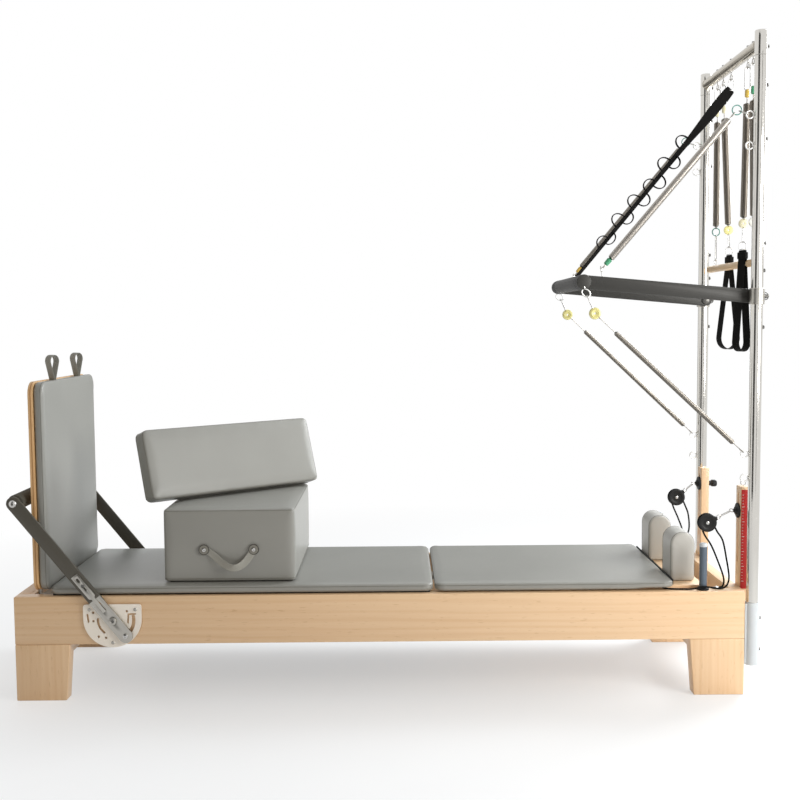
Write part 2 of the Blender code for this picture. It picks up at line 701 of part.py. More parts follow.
def make_pulley(label):
    """A block with two cheeks and a bow, shackled to a clamp disc on the riser."""
    centre = Vector(PULLEYS[label])
    eye = Vector((CLAMP_EYE_X, centre.y, CLAMP_Z[label]))
    ahead = (eye - centre).normalized()
    across = Vector((0, 1, 0))
    normal = ahead.cross(across)
    cheeks = []
    for side in (-1, 1):
        inner = centre + across * (side * CHEEK_GAP)
        cheeks.append(rod(bmesh.new(), inner, inner + across * (side * CHEEK_THICK), CHEEK_RADIUS, 16))
    pin_reach = across * (CHEEK_GAP + 0.0035)
    pin = rod(bmesh.new(), centre - pin_reach, centre + pin_reach, SHEAVE_PIN, 8)
    depth = CHEEK_GAP + CHEEK_THICK
    rings = []
    for step, half in ((0.0278, 0.007), (0.0370, 0.004)):
        base = centre + ahead * step
        rings.append([base + normal * half + across * depth, base + normal * half - across * depth,
                      base - normal * half - across * depth, base - normal * half + across * depth])
    bow = loft(bmesh.new(), rings)
    hitch = linked(SMALL_RING, LINK_WIRE, SMALL_RING, LINK_WIRE, -LINK_WELD)
    bow_ring = centre + ahead * (0.0370 + SMALL_RING)
    first = bow_ring + ahead * hitch
    last = eye - ahead * hitch
    wire = LINK_WIRE / 2
    links = [
        sweep(bmesh.new(), ring_path(bow_ring, ahead, normal, SMALL_RING, 7), wire, WIRE_SIDES, closed=True),
        sweep(bmesh.new(), link_path(last, first, across, SMALL_RING), wire, WIRE_SIDES, closed=True),
        sweep(bmesh.new(), ring_path(eye, Vector((1, 0, 0)), normal, SMALL_RING, 7), wire, WIRE_SIDES,
              closed=True),
    ]
    disc = turned(bmesh.new(), (RISER_X[0] - GAP, centre.y, eye.z), (-1, 0, 0),
                  [(0.025, 0.0), (0.025, 0.005), (0.012, 0.0115), (0.006, 0.0165)], 12)
    solid(f"pulley_block_{label}", "black_plastic", cheeks[0], joined=[cheeks[1], pin, bow] + links + [disc])
    sheave_empty = joint_empty(f"sheave_{label}_axis", centre)
    groove = [(SHEAVE_BORE, -SHEAVE_HALF), (SHEAVE_RADIUS, -SHEAVE_HALF), (SHEAVE_GROOVE, -0.002),
              (SHEAVE_GROOVE, 0.002), (SHEAVE_RADIUS, SHEAVE_HALF), (SHEAVE_BORE, SHEAVE_HALF)]
    wheel = turned(bmesh.new(), centre, across, groove, 16, ring=True)
    solid(f"pulley_sheave_{label}", "brushed_steel", wheel, empty=sheave_empty)
    knob_empty = joint_empty(f"knob_{label}_axis", (RISER_X[1], centre.y, eye.z))
    seat = RISER_X[1] + GAP
    knob = turned(bmesh.new(), (seat, centre.y, eye.z), (1, 0, 0),
                  [(0.004, RISER_X[0] + 0.0005 - seat), (0.004, 0.0), (0.009, 0.0), (0.0135, 0.0145),
                   (0.0135, 0.030), (0.010, 0.034)], 12)
    solid(f"riser_knob_{label}", "black_plastic", knob, empty=knob_empty)


PEG_X = along(2.268)
PEG_Y = 0.287


def make_rope_pegs():
    """Upright pegs on the rails that hold the ropes' handles."""
    for label, sign in SIDES:
        peg = turned(bmesh.new(), (PEG_X, sign * PEG_Y, RAIL_TOP + GAP), (0, 0, 1),
                     [(0.0195, 0.0), (0.0195, 0.006), (0.0125, 0.011), (0.0125, 0.152), (0.009, 0.156)], 14)
        solid(f"rope_peg_{label}", "bar_grey", peg)


ROPE_LIE = RAIL_TOP + ROPE_RADIUS + 0.0004
SHEAVE_WRAP = SHEAVE_GROOVE + ROPE_RADIUS + 0.0024


def rope_knots(label, sign):
    """From the deck's edge along the rail, past the peg, up and over the sheave and back."""
    x, y, z = PULLEYS[label]
    side = abs(y)
    low = [(along(2.140), 0.2662, ROPE_LIE), (along(2.1440), 0.2770, ROPE_LIE),
           (along(2.158), 0.2870, ROPE_LIE),
           (along(2.195), 0.2920, ROPE_LIE + 0.0005), (along(2.222), 0.2975, ROPE_LIE + 0.004),
           (along(2.246), 0.3035, ROPE_LIE + 0.0100), (along(2.270), 0.3046, ROPE_LIE + 0.0100),
           (along(2.296), 0.2990, ROPE_LIE + 0.0060), (along(2.320), 0.2900, ROPE_LIE + 0.0005),
           (along(2.340), 0.2830, ROPE_LIE + 0.0020), (along(2.353), 0.2780, ROPE_LIE + 0.0140),
           (along(2.358), 0.2720, ROPE_LIE + 0.0400), (x + 0.0580, 0.2580, 0.4400),
           (x + 0.0500, 0.2400, 0.5000)]
    wrap = []
    for angle in (-12, 20, 52, 84, 116, 148, 180, 205):
        turn = math.radians(angle)
        wrap.append((x + SHEAVE_WRAP * math.cos(turn), side, z + SHEAVE_WRAP * math.sin(turn)))
    join = (x + 0.0335, side + 0.002, z - 0.0300)
    back = [(x - 0.0080, side + 0.003, z - 0.0420), (x + 0.0120, side + 0.010, 0.4850),
            (x + 0.0310, 0.2500, 0.4350), (along(2.3430), 0.2625, 0.3820),
            (along(2.3380), 0.2715, ROPE_LIE + 0.0040), (along(2.3180), 0.2765, ROPE_LIE + 0.0002)]
    return [(px, sign * py, pz) for px, py, pz in low + [join] + wrap + back]


def make_ropes():
    for label, sign in SIDES:
        path, length = smooth_path(rope_knots(label, sign), ROPE_STEP)
        wire_object(f"carriage_rope_{label}", "rope_black", [path], ROPE_RADIUS, 2)
        print(f"rope {label}: {length:.3f} m in {len(path)} points")


WHEEL_PLACES = (("foot", along(1.50)), ("head", along(2.15)))
WHEEL_Y = 0.2505
AXLE_Z = TRACK_TOP + WHEEL_RADIUS + GAP


def make_carriage(empty):
    """The sliding bed: a deck on four wheels, its pad, and two shoulder rests."""
    deck = eased_block((along(1.400), -DECK_HALF, DECK_BOTTOM), (along(2.280), DECK_HALF, DECK_TOP), 0.003)
    joined = []
    inner = WHEEL_Y - WHEEL_WIDTH / 2 - 0.0008
    for label, x in WHEEL_PLACES:
        for sign in (-1, 1):
            low = min(sign * inner, sign * (inner - 0.006))
            outline = [(x - 0.022, DECK_BOTTOM + 0.004), (x + 0.022, DECK_BOTTOM + 0.004)] + list(
                reversed(arc(x, AXLE_Z, 0.011, 180, 360, 3)))
            joined.append(prism_y(bmesh.new(), outline, low, low + 0.006))
            joined.append(rod(bmesh.new(), (x, sign * (inner - 0.003), AXLE_Z),
                              (x, sign * (WHEEL_Y + 0.0070), AXLE_Z), AXLE_RADIUS, 10))
    solid("carriage_deck", "plywood", deck, joined=joined, empty=empty)
    middle = (along(1.383) + along(2.163)) / 2
    half = (along(2.163) - along(1.383)) / 2
    solid("carriage_pad", "upholstery",
          cushion(half, MAT_HALF, PAD_BOTTOM, MAT_TOP, 0.030, 0.006, 0.0015, 0.002,
                  place=Matrix.Translation((middle, 0, 0))), empty=empty)
    for label, sign in SIDES:
        make_shoulder_rest(label, sign, empty)
    hanger = box(bmesh.new(), (along(1.405), -0.200, DECK_BOTTOM - 0.030),
                 (along(1.425), 0.200, DECK_BOTTOM - GAP))
    springs = []
    z = DECK_BOTTOM - 0.016
    for number in range(CARRIAGE_SPRINGS):
        y = (number - (CARRIAGE_SPRINGS - 1) / 2) * 0.055
        springs.append(turned(bmesh.new(), (along(1.424), y, z), (1, 0, 0),
                              [(0.003, 0.0), (0.010, 0.016), (0.010, 0.400), (0.003, 0.430)], 6))
    solid("carriage_springs", "spring_steel", hanger, joined=springs, empty=empty)
    for end, x in WHEEL_PLACES:
        for label, sign in SIDES:
            place = (x, sign * WHEEL_Y, AXLE_Z)
            axis = joint_empty(f"wheel_{end}_{label}_axis", place, empty)
            half_width = WHEEL_WIDTH / 2
            profile = [(WHEEL_BORE, -half_width), (0.011, -half_width), (0.016, -0.005), (0.022, -half_width),
                       (WHEEL_RADIUS, -0.006), (WHEEL_RADIUS, 0.006), (0.022, half_width),
                       (WHEEL_BORE, half_width)]
            wheel = turned(bmesh.new(), place, (0, 1, 0), profile, 12, ring=True)
            solid(f"carriage_wheel_{end}_{label}", "tyre", wheel, empty=axis)


def make_shoulder_rest(label, sign, empty):
    """An arch-topped block, soft at its edges, that stands on the deck."""
    centre_x = (along(2.187) + along(2.266)) / 2
    half = 0.0395
    low_y = 0.097
    high_y = 0.212
    edge = 0.012
    rings = []
    for y, inset in ((low_y, edge * 0.8), (low_y + edge * 0.3, edge * 0.25), (low_y + edge, 0.0),
                     (high_y - edge, 0.0), (high_y - edge * 0.3, edge * 0.25), (high_y, edge * 0.8)):
        wide = half - inset
        top = 0.521 - inset
        arch = arc(centre_x, top - wide, wide, 0, 180, 7)
        foot_z = DECK_TOP + GAP + inset * 0.3
        outline = [(centre_x + wide, foot_z)] + arch + [(centre_x - wide, foot_z)]
        rings.append([Vector((x, sign * y, z)) for x, z in outline])
    solid(f"shoulder_rest_{label}", "upholstery", loft(bmesh.new(), rings), empty=empty)


ARM_DIRECTION = Vector((GRIP[0] - PIVOT[0], GRIP[1] - PIVOT[1])).normalized()


def on_arm(distance, offset=0.0):
    """A point in X and Z at a distance from the pivot, and off the arm's middle line."""
    square = Vector((-ARM_DIRECTION.y, ARM_DIRECTION.x))
    point = Vector(PIVOT) + ARM_DIRECTION * distance + square * offset
    return (point.x, point.y)


def arm_outline(low, high, half):
    return [on_arm(low, -half), on_arm(high, -half), on_arm(high, half), on_arm(low, half)]


def make_footbar(empty):
    """Two flat arms with their pins, the padded grip between them, and the sliding latches."""
    for label, sign in SIDES:
        low = min(sign * ARM_INNER, sign * ARM_OUTER)
        high = max(sign * ARM_INNER, sign * ARM_OUTER)
        outward = (0, sign, 0)
        outline = slot_outline(on_arm(-ARM_TAIL), on_arm(ARM_LENGTH), ARM_WIDTH / 2, 5)
        bar = prism_y(bmesh.new(), outline, low, high)
        bmesh.ops.recalc_face_normals(bar, faces=bar.faces)
        rims = [edge for edge in bar.edges if abs(edge.verts[0].co.y - edge.verts[1].co.y) < 1e-6]
        bmesh.ops.bevel(bar, geom=rims, offset=0.001, segments=1, affect="EDGES")
        tail = on_arm(-ARM_TAIL)
        tail_pin = rod(bmesh.new(), (tail[0], sign * (ARM_OUTER - 0.002), tail[1]),
                       (tail[0], sign * (HALF_WIDTH + 0.0015), tail[1]),
                       TAIL_PIN_RADIUS, 10)
        end_bolt = turned(bmesh.new(), (GRIP[0], sign * (ARM_OUTER - 0.002), GRIP[1]), outward,
                          [(0.013, 0.0), (0.013, 0.005), (0.010, 0.009), (0.005, 0.0115)], 10)
        screw = on_arm(0.150)
        shank = turned(bmesh.new(), (screw[0], sign * (ARM_OUTER - 0.002), screw[1]), outward,
                       [(0.0026, 0.0), (0.0026, 0.0056), (0.0052, 0.0056), (0.0052, 0.0080)], 8)
        hole = rod(bmesh.new(), (PIVOT[0], low - 0.002, PIVOT[1]), (PIVOT[0], high + 0.002, PIVOT[1]),
                   PIVOT_RADIUS + 0.0006, 16)
        slot = prism_y(bmesh.new(), arm_outline(0.040, 0.082, 0.008), low - 0.002, high + 0.002)
        solid(f"footbar_arm_{label}", "olive_steel", bar, joined=[tail_pin, end_bolt, shank],
              cuts=[hole, slot], empty=empty)
    reach = ARM_INNER - GAP
    grip = turned(bmesh.new(), (GRIP[0], -reach, GRIP[1]), (0, 1, 0),
                  [(0.019, 0.0), (0.019, 0.012), (GRIP_RADIUS, 0.016), (GRIP_RADIUS, 2 * reach - 0.016),
                   (0.019, 2 * reach - 0.012), (0.019, 2 * reach)], 16)
    solid("footbar_grip", "foam_grip", grip, empty=empty)
    for label, sign in SIDES:
        middle = on_arm(0.146)
        axis = joint_empty(f"latch_{label}_axis", (middle[0], sign * ARM_OUTER, middle[1]), empty)
        low = min(sign * (ARM_OUTER + GAP), sign * (ARM_OUTER + 0.0030))
        high = max(sign * (ARM_OUTER + GAP), sign * (ARM_OUTER + 0.0030))
        outline = [on_arm(0.040, -0.006), on_arm(0.098, -0.006), on_arm(0.104, -0.0125),
                   on_arm(0.194, -0.0125),
                   on_arm(0.194, 0.0125), on_arm(0.104, 0.0125), on_arm(0.098, 0.006), on_arm(0.040, 0.006)]
        slide = slot_outline(on_arm(0.134), on_arm(0.154), 0.0032, 3)
        travel = prism_y(bmesh.new(), slide, low - 0.002, high + 0.002)
        window = prism_y(bmesh.new(), arm_outline(0.168, 0.180, 0.0045), low - 0.002, high + 0.002)
        latch = prism_y(bmesh.new(), outline, low, high)
        solid(f"footbar_latch_{label}", "brushed_steel", latch, cuts=[travel, window], empty=axis)


def make_mat_extension(empty):
    middle = (along(0.113) + along(1.376)) / 2
    half = (along(1.376) - along(0.113)) / 2
    solid("mat_extension", "upholstery",
          cushion(half, MAT_HALF, RAIL_TOP + GAP, MAT_TOP, 0.030, 0.006, 0.0015, 0.002, under=0.012,
                  place=Matrix.Translation((middle, 0, 0))), empty=empty)


BOX_X = (along(0.4904), along(0.9213))
BOX_Y = (-0.2617, 0.2978)
BOX_TOP = 0.6245
HANDLE_X = (along(0.6195), along(0.7840))
HANDLE_Z = 0.4905
HANDLE_SAG = 0.060
HANDLE_BULGE = 0.030
HANDLE_HALF = 0.013
HANDLE_THICK = 0.003


def make_sitting_box(empty):
    """The upholstered box, and a strap handle on each long face."""
    centre = Vector(((BOX_X[0] + BOX_X[1]) / 2, (BOX_Y[0] + BOX_Y[1]) / 2, 0))
    half_x = (BOX_X[1] - BOX_X[0]) / 2
    half_y = (BOX_Y[1] - BOX_Y[0]) / 2
    solid("sitting_box", "upholstery",
          cushion(half_x, half_y, MAT_TOP + GAP, BOX_TOP, 0.022, 0.010, 0.0, 0.003,
                  place=Matrix.Translation(centre)), empty=empty)
    steps = 8
    span = HANDLE_X[1] - HANDLE_X[0]
    for label, face, outward in (("near", BOX_Y[0], -1), ("far", BOX_Y[1], 1)):
        thick = Vector((0, outward * HANDLE_THICK, 0))
        rings = []
        for index in range(steps + 1):
            part = index / steps
            slope = math.atan2(-HANDLE_SAG * 4 * (1 - 2 * part), span)
            lift = GAP + HANDLE_BULGE * math.sin(math.pi * part) ** 1.5
            up = Vector((-math.sin(slope), 0, math.cos(slope))) * HANDLE_HALF
            droop = HANDLE_SAG * 4 * part * (1 - part)
            base = Vector((HANDLE_X[0] + span * part, face + outward * lift, HANDLE_Z - droop))
            rings.append([base - up, base + up, base + up + thick, base - up + thick])
        joined = []
        for x in HANDLE_X:
            tab = turned(bmesh.new(), (x, face + outward * (GAP + 0.0002), HANDLE_Z), (0, outward, 0),
                         [(0.015, 0.0), (0.015, HANDLE_THICK + 0.0008), (0.008, HANDLE_THICK + 0.0014),
                          (0.005, HANDLE_THICK + 0.0042)], 8)
            joined.append(tab)
        solid(f"box_handle_{label}", "webbing_grey", loft(bmesh.new(), rings), joined=joined, empty=empty)


PLATFORM_SIZE = (0.680, 0.243, 0.070)
PLATFORM_TURN = math.radians(39.9)
PLATFORM_LEAN = math.radians(18.0)
PLATFORM_FRONT = (along(0.437), -0.1930)
BATTEN_DEPTH = 0.030
BATTEN_LOW = 0.010


def platform_matrix():
    """The board's own axes: X along its long edge, Y through it to the back, Z up its face."""
    along_edge = Vector((math.cos(PLATFORM_TURN), math.sin(PLATFORM_TURN), 0))
    back = Vector((-math.sin(PLATFORM_TURN), math.cos(PLATFORM_TURN), 0))
    up = Vector((0, 0, 1))
    face_up = up * math.cos(PLATFORM_LEAN) + back * math.sin(PLATFORM_LEAN)
    through = back * math.cos(PLATFORM_LEAN) - up * math.sin(PLATFORM_LEAN)
    turn = Matrix((along_edge, through, face_up)).transposed().to_4x4()
    front = Vector((PLATFORM_FRONT[0], PLATFORM_FRONT[1], 0))
    lowest = (through * PLATFORM_SIZE[2]).z
    start = front + Vector((0, 0, BOX_TOP + 0.0001 - lowest))
    return Matrix.Translation(start) @ turn


def make_standing_platform(empty):
    """The padded standing board leaning on the box, with the batten it rests on."""
    frame = platform_matrix()
    length, height, thick = PLATFORM_SIZE
    lay = frame @ Matrix.Translation((length / 2, thick, height / 2)) @ Matrix.Rotation(math.pi / 2, 4, "X")
    pad = cushion(length / 2, height / 2, 0.0, thick, 0.024, 0.010, 0.003, 0.002, place=lay)
    corners = []
    for z in (BATTEN_LOW, BATTEN_LOW + 0.040):
        ring = [(0.04, thick - 0.004, z), (length - 0.04, thick - 0.004, z),
                (length - 0.04, thick + BATTEN_DEPTH, z),
                (0.04, thick + BATTEN_DEPTH, z)]
        corners.append([frame @ Vector(point) for point in ring])
    batten = loft(bmesh.new(), corners)
    solid("standing_platform", "upholstery", pad, joined=[batten], empty=empty)


JUMP_HALF = 0.295
JUMP_BOTTOM = 0.360
JUMP_TOP = 1.052
JUMP_CORNER = 0.040
LOOP_Y = (-0.135, 0.135)


def make_jump_board(empty):
    """The plywood back with its two steel blades, and the pad with two lifting loops."""
    mid_z = (JUMP_BOTTOM + JUMP_TOP) / 2
    half_z = (JUMP_TOP - JUMP_BOTTOM) / 2
    turn = Matrix.Translation((PANEL_X[0], 0, mid_z)) @ Matrix.Rotation(math.pi / 2, 4, "Y")
    outline = rounded_rectangle(half_z, JUMP_HALF, JUMP_CORNER, 5, 0.0, 0)
    thick = PANEL_X[1] - PANEL_X[0] - GAP
    panel = loft(bmesh.new(), [[turn @ Vector((x, y, z)) for x, y in outline] for z in (0.0, thick)])
    blades = []
    for sign in (-1, 1):
        middle = sign * BLADE_Y
        blades.append(box(bmesh.new(), (PANEL_X[0] - 0.0045, middle - BLADE_HALF, BLADE_BOTTOM),
                          (PANEL_X[0] + 0.0010, middle + BLADE_HALF, JUMP_BOTTOM + 0.180)))
    solid("jump_board_panel", "plywood", panel, joined=blades, empty=empty)
    face = Matrix.Translation((PANEL_X[1], 0, mid_z)) @ Matrix.Rotation(math.pi / 2, 4, "Y")
    pad = cushion(half_z - 0.003, JUMP_HALF - 0.003, 0.0, 0.0315, JUMP_CORNER - 0.003, 0.007, 0.001, 0.002,
                  place=face)
    loops = []
    for y in LOOP_Y:
        foot = Vector((PANEL_X[1] + 0.0155, y, JUMP_TOP - 0.012))
        loops.append(webbing_loop(bmesh.new(), foot, 0.096, 0.021, 0.024, math.radians(50), steps=10))
    solid("jump_board_pad", "upholstery", pad, joined=loops, empty=empty)


def webbing_loop(shape, foot, height, half, width, turn, point_up=False, steps=14):
    """A flat strap bent into a teardrop: outer and inner outlines given the strap's width."""
    across = Vector((math.cos(turn), math.sin(turn), 0))
    flat = Vector((-math.sin(turn), math.cos(turn), 0))
    up = Vector((0, 0, -1 if point_up else 1))
    straight = height - half
    spread = math.pi + 2 * math.asin(half / straight)
    outer = [(0.004, 0.0)]
    inner = [(0.0, 0.012)]
    for index in range(steps):
        angle = math.pi / 2 - spread / 2 + spread * index / (steps - 1)
        outer.append((half * math.cos(angle), straight + half * math.sin(angle)))
        bore = half - WEBBING_THICK
        inner.append((bore * math.cos(angle), straight + bore * math.sin(angle)))
    outer.append((-0.004, 0.0))
    rings = []
    for line, side in ((outer, -0.5), (outer, 0.5), (inner, 0.5), (inner, -0.5)):
        rings.append([shape.verts.new(foot + across * a + up * b + flat * (side * width)) for a, b in line])
    outer_low, outer_high, inner_high, inner_low = rings
    last = len(outer) - 1
    for index in range(last + 1):
        after = (index + 1) % (last + 1)
        shape.faces.new((outer_low[index], outer_low[after], outer_high[after], outer_high[index]))
    for index in range(last):
        after = (index + 1) % last
        shape.faces.new((inner_low[index], inner_low[after], inner_high[after], inner_high[index]))
    for rim, bore in ((outer_low, inner_low), (outer_high, inner_high)):
        for index in range(last - 1):
            shape.faces.new((rim[index], rim[index + 1], bore[index + 1], bore[index]))
        shape.faces.new((rim[last - 1], rim[last], bore[0], bore[last - 1]))
        shape.faces.new((rim[last], rim[0], bore[0]))
    return shape


BAR_END = (POST_X - BAR_REACH, BAR_PIVOT_Z + BAR_RISE)


def make_push_bar(empty):
    """The welded push bar: two flat arms that turn on the collars' studs, and the tube between."""
    arms = []
    cuts = []
    for sign in (-1, 1):
        low = min(sign * BAR_ARM_INNER, sign * BAR_ARM_OUTER)
        high = max(sign * BAR_ARM_INNER, sign * BAR_ARM_OUTER)
        outline = slot_outline((POST_X, BAR_PIVOT_Z), BAR_END, ARM_WIDTH / 2, 5)
        arms.append(prism_y(bmesh.new(), outline, low, high))
        cuts.append(rod(bmesh.new(), (POST_X, low - 0.002, BAR_PIVOT_Z), (POST_X, high + 0.002, BAR_PIVOT_Z),
                        STUD_RADIUS + 0.0009, 14))
    reach = BAR_ARM_OUTER + 0.0055
    tube = turned(bmesh.new(), (BAR_END[0], -reach, BAR_END[1]), (0, 1, 0),
                  [(BAR_TUBE_RADIUS - 0.003, 0.0), (BAR_TUBE_RADIUS, 0.003),
                   (BAR_TUBE_RADIUS, 2 * reach - 0.003),
                   (BAR_TUBE_RADIUS - 0.003, 2 * reach)], 14)
    eyes = []
    for sign in (-1, 1):
        for place, foot_step in ((UPPER_BAR_EYE, Vector((0.004, 0, -0.029))),
                                 (LOWER_BAR_EYE, Vector((-0.004, 0, 0.024)))):
            centre = Vector((place.x, sign * place.y, place.z))
            foot = centre + foot_step
            bent = eye_path(foot, centre, Vector((0, 1, 0)))
            eyes.append(sweep(bmesh.new(), bent, EYE_WIRE / 2, WIRE_SIDES))
    solid("push_bar", "bar_grey", tube, joined=arms + eyes, cuts=cuts, empty=empty)


UPPER_BAR_EYE = Vector((POST_X - 0.4970, BAR_ARM_INNER + 0.004, 1.4020))
LOWER_BAR_EYE = Vector((POST_X - 0.5450, BAR_ARM_INNER + 0.004, 1.3240))


def make_push_springs():
    """Two springs from the upper post eyes to the bar, and two slimmer ones below it."""
    hook_ring = SMALL_RING + 0.002
    gaps = []
    for label, sign in SIDES:
        for name, eye_z, target, turns, lead, tail in (
                ("push_spring", POST_EYE_Z[0], UPPER_BAR_EYE, PUSH_TURNS, 0.045, 0.060),
                ("lower_spring", POST_EYE_Z[1], LOWER_BAR_EYE, LOW_TURNS, 0.040, 0.110)):
            eye = Vector((POST_EYE_X, sign * POST_Y, eye_z))
            end = Vector((target.x, sign * target.y, target.z))
            ahead = (end - eye).normalized()
            reach = linked(EYE_RING, EYE_WIRE, hook_ring, 2 * PUSH_WIRE)
            first = eye + ahead * reach
            last = end - ahead * reach
            path = spring_path(first, first + ahead * lead, last - ahead * tail, last, turns, PUSH_COIL,
                               Vector((0, 1, 0)), hook_ring)
            gaps.append(least_gap(path, PUSH_WIRE))
            wire_object(f"{name}_{label}", "spring_steel", [path], PUSH_WIRE, 1)
    print(f"push springs: least gap to itself {min(gaps) * 1000:.2f} mm")


def make_safety_strap():
    """The webbing strap from the middle eye down to the push bar, with daisy-chain loops."""
    up = Vector((0, 0, 1))
    eye = Vector((POST_X, 0.0, HANG_EYE_Z))
    top = eye - up * linked(EYE_RING, EYE_WIRE, CLIP_ARC, EYE_WIRE)
    bottom = top - up * 0.034
    clip = sweep(bmesh.new(), link_path(top, bottom, Vector((1, 0, 0)), CLIP_ARC), EYE_WIRE / 2, WIRE_SIDES,
                 closed=True)
    finish = Vector((BAR_END[0], 0.0, BAR_END[1]))
    start = bottom - up * (CLIP_ARC - 0.001)
    ahead = (finish - start).normalized()
    finish = finish - ahead * (BAR_TUBE_RADIUS + GAP)
    square = ahead.cross(Vector((0, 1, 0)))
    rings = []
    for part, half, thick in ((0.0, 0.012, 0.004), (0.04, 0.019, 0.003), (0.30, 0.019, 0.003),
                              (0.34, 0.013, 0.004), (1.0, 0.013, 0.004)):
        base = start.lerp(finish, part)
        across = Vector((0, half, 0))
        depth = square * (thick / 2)
        rings.append([base - across - depth, base + across - depth,
                      base + across + depth, base - across + depth])
    solid("safety_strap", "webbing_black", loft(bmesh.new(), rings), joined=[clip])


def hang_matrix(y, shift):
    """A frame at a top eye, tilted about Y so that a point at the dowel's height moves by shift."""
    tilt = math.atan2(shift, SWING_Z - DOWEL_Z)
    return Matrix.Translation((POST_X, y, SWING_Z)) @ Matrix.Rotation(-tilt, 4, "Y")


def hanging_chain(place, end_z):
    """The clip above the spring, and the coloured ring and long link below it."""
    x_axis = place.to_3x3() @ Vector((1, 0, 0))
    y_axis = place.to_3x3() @ Vector((0, 1, 0))
    up = place.to_3x3() @ Vector((0, 0, 1))
    bottom = place @ Vector((0, 0, -CLIP_LENGTH))
    ring = place @ Vector((0, 0, RING_Z - SWING_Z))
    link_top = ring - up * linked(COLOUR_RING, LINK_WIRE, SMALL_RING, LINK_WIRE, -LINK_WELD)
    link_bottom = place @ Vector((0, 0, end_z - SWING_Z))
    return [
        sweep(bmesh.new(), link_path(place.to_translation(), bottom, x_axis, CLIP_ARC), EYE_WIRE / 2,
              WIRE_SIDES, closed=True),
        sweep(bmesh.new(), ring_path(ring, x_axis, up, COLOUR_RING, 10), LINK_WIRE / 2, WIRE_SIDES,
              closed=True),
        sweep(bmesh.new(), link_path(link_top, link_bottom, y_axis, SMALL_RING), LINK_WIRE / 2, WIRE_SIDES,
              closed=True),
    ]


RING_Z = 1.5545


def hanging_spring(place):
    """The wire path of one hanging spring, hooked in the clip above and the ring below."""
    top = -CLIP_LENGTH - linked(CLIP_ARC, EYE_WIRE, SMALL_RING, 2 * SPRING_WIRE, -LINK_WELD)
    ring = RING_Z - SWING_Z + linked(COLOUR_RING, LINK_WIRE, SMALL_RING, 2 * SPRING_WIRE, -LINK_WELD)
    spots = [place @ Vector((0, 0, z)) for z in (top, SPRING_TOP - SWING_Z, SPRING_BOTTOM - SWING_Z, ring)]
    y_axis = place.to_3x3() @ Vector((0, 1, 0))
    return spring_path(spots[0], spots[1], spots[2], spots[3], HANG_TURNS, SPRING_COIL, y_axis)


DOWEL_ENDS = (-0.250, 0.238)
DOWEL_HANG = ((-0.227, 0.0115), (0.153, -0.0115))
LEG_HANG = {"near": (-0.175, -0.0215), "far": (0.088, 0.0225)}


def dowel_x(y):
    """The dowel lies a little askew, from one spring's foot to the other's."""
    (y0, x0), (y1, x1) = DOWEL_HANG
    return POST_X + x0 + (x1 - x0) * (y - y0) / (y1 - y0)


def make_roll_down(empty):
    """A wooden dowel with two screw eyes, hung on two springs."""
    start = Vector((dowel_x(DOWEL_ENDS[0]), DOWEL_ENDS[0], DOWEL_Z))
    axis = Vector((dowel_x(DOWEL_ENDS[1]), DOWEL_ENDS[1], DOWEL_Z)) - start
    length = axis.length
    bar = turned(bmesh.new(), start, axis, [(DOWEL_RADIUS - 0.0025, 0.0), (DOWEL_RADIUS, 0.0025),
                                            (DOWEL_RADIUS, length - 0.0025),
                                            (DOWEL_RADIUS - 0.0025, length)], 12)
    eye_z = DOWEL_Z + DOWEL_RADIUS + 0.0125
    eyes = []
    for (label, _), (y, shift) in zip(SIDES, DOWEL_HANG):
        place = hang_matrix(y, shift)
        up = place.to_3x3() @ Vector((0, 0, 1))
        x_axis = place.to_3x3() @ Vector((1, 0, 0))
        eye = place @ Vector((0, 0, eye_z - SWING_Z))
        bent = [eye - up * 0.0155] + ring_path(eye, -up, x_axis, SMALL_RING, 8, 45)
        eyes.append(sweep(bmesh.new(), bent, LINK_WIRE / 2, WIRE_SIDES))
        hitch = linked(SMALL_RING, LINK_WIRE, SMALL_RING, LINK_WIRE)
        path = hanging_spring(place)
        if label == "near":
            print(f"hanging springs: least gap to itself {least_gap(path, SPRING_WIRE) * 1000:.2f} mm")
        solid(f"roll_down_spring_{label}", "spring_steel", sweep(bmesh.new(), path, SPRING_WIRE, 5),
              joined=hanging_chain(place, eye_z + hitch), empty=empty)
    solid("roll_down_bar", "maple", bar, joined=eyes, empty=empty)


def make_leg_strap(label, empty):
    """A spring with its clips, and the webbing loop on a D-ring below it."""
    y, shift = LEG_HANG[label]
    place = hang_matrix(y, shift)
    x_axis = place.to_3x3() @ Vector((1, 0, 0))
    up = place.to_3x3() @ Vector((0, 0, 1))
    arc_z = STRAP_TOP + 0.0150
    hitch = linked(SMALL_RING, LINK_WIRE, D_RING, LINK_WIRE, -LINK_WELD)
    centre = place @ Vector((0, 0, arc_z - SWING_Z))
    d_path = []
    for index in range(9):
        angle = math.pi * index / 8
        d_path.append(centre + D_RING * (math.cos(angle) * x_axis + math.sin(angle) * up))
    for side, down in ((-D_RING, 0.0080), (-0.75 * D_RING, D_BAR), (0.75 * D_RING, D_BAR), (D_RING, 0.0080)):
        d_path.append(centre + x_axis * side - up * down)
    d_ring = sweep(bmesh.new(), d_path, LINK_WIRE / 2, WIRE_SIDES, closed=True)
    solid(f"leg_spring_{label}", "spring_steel", sweep(bmesh.new(), hanging_spring(place), SPRING_WIRE, 5),
          joined=hanging_chain(place, arc_z + hitch) + [d_ring], empty=empty)
    foot = centre - up * (D_BAR + LINK_WIRE / 2 + 0.0005)
    turn = 0.0 if label == "far" else math.radians(30)
    loop = webbing_loop(bmesh.new(), foot, STRAP_TOP - STRAP_BOTTOM, 0.036, WEBBING_WIDTH, turn,
                        point_up=True, steps=14)
    solid(f"leg_strap_{label}", "webbing_black", loop, empty=empty)


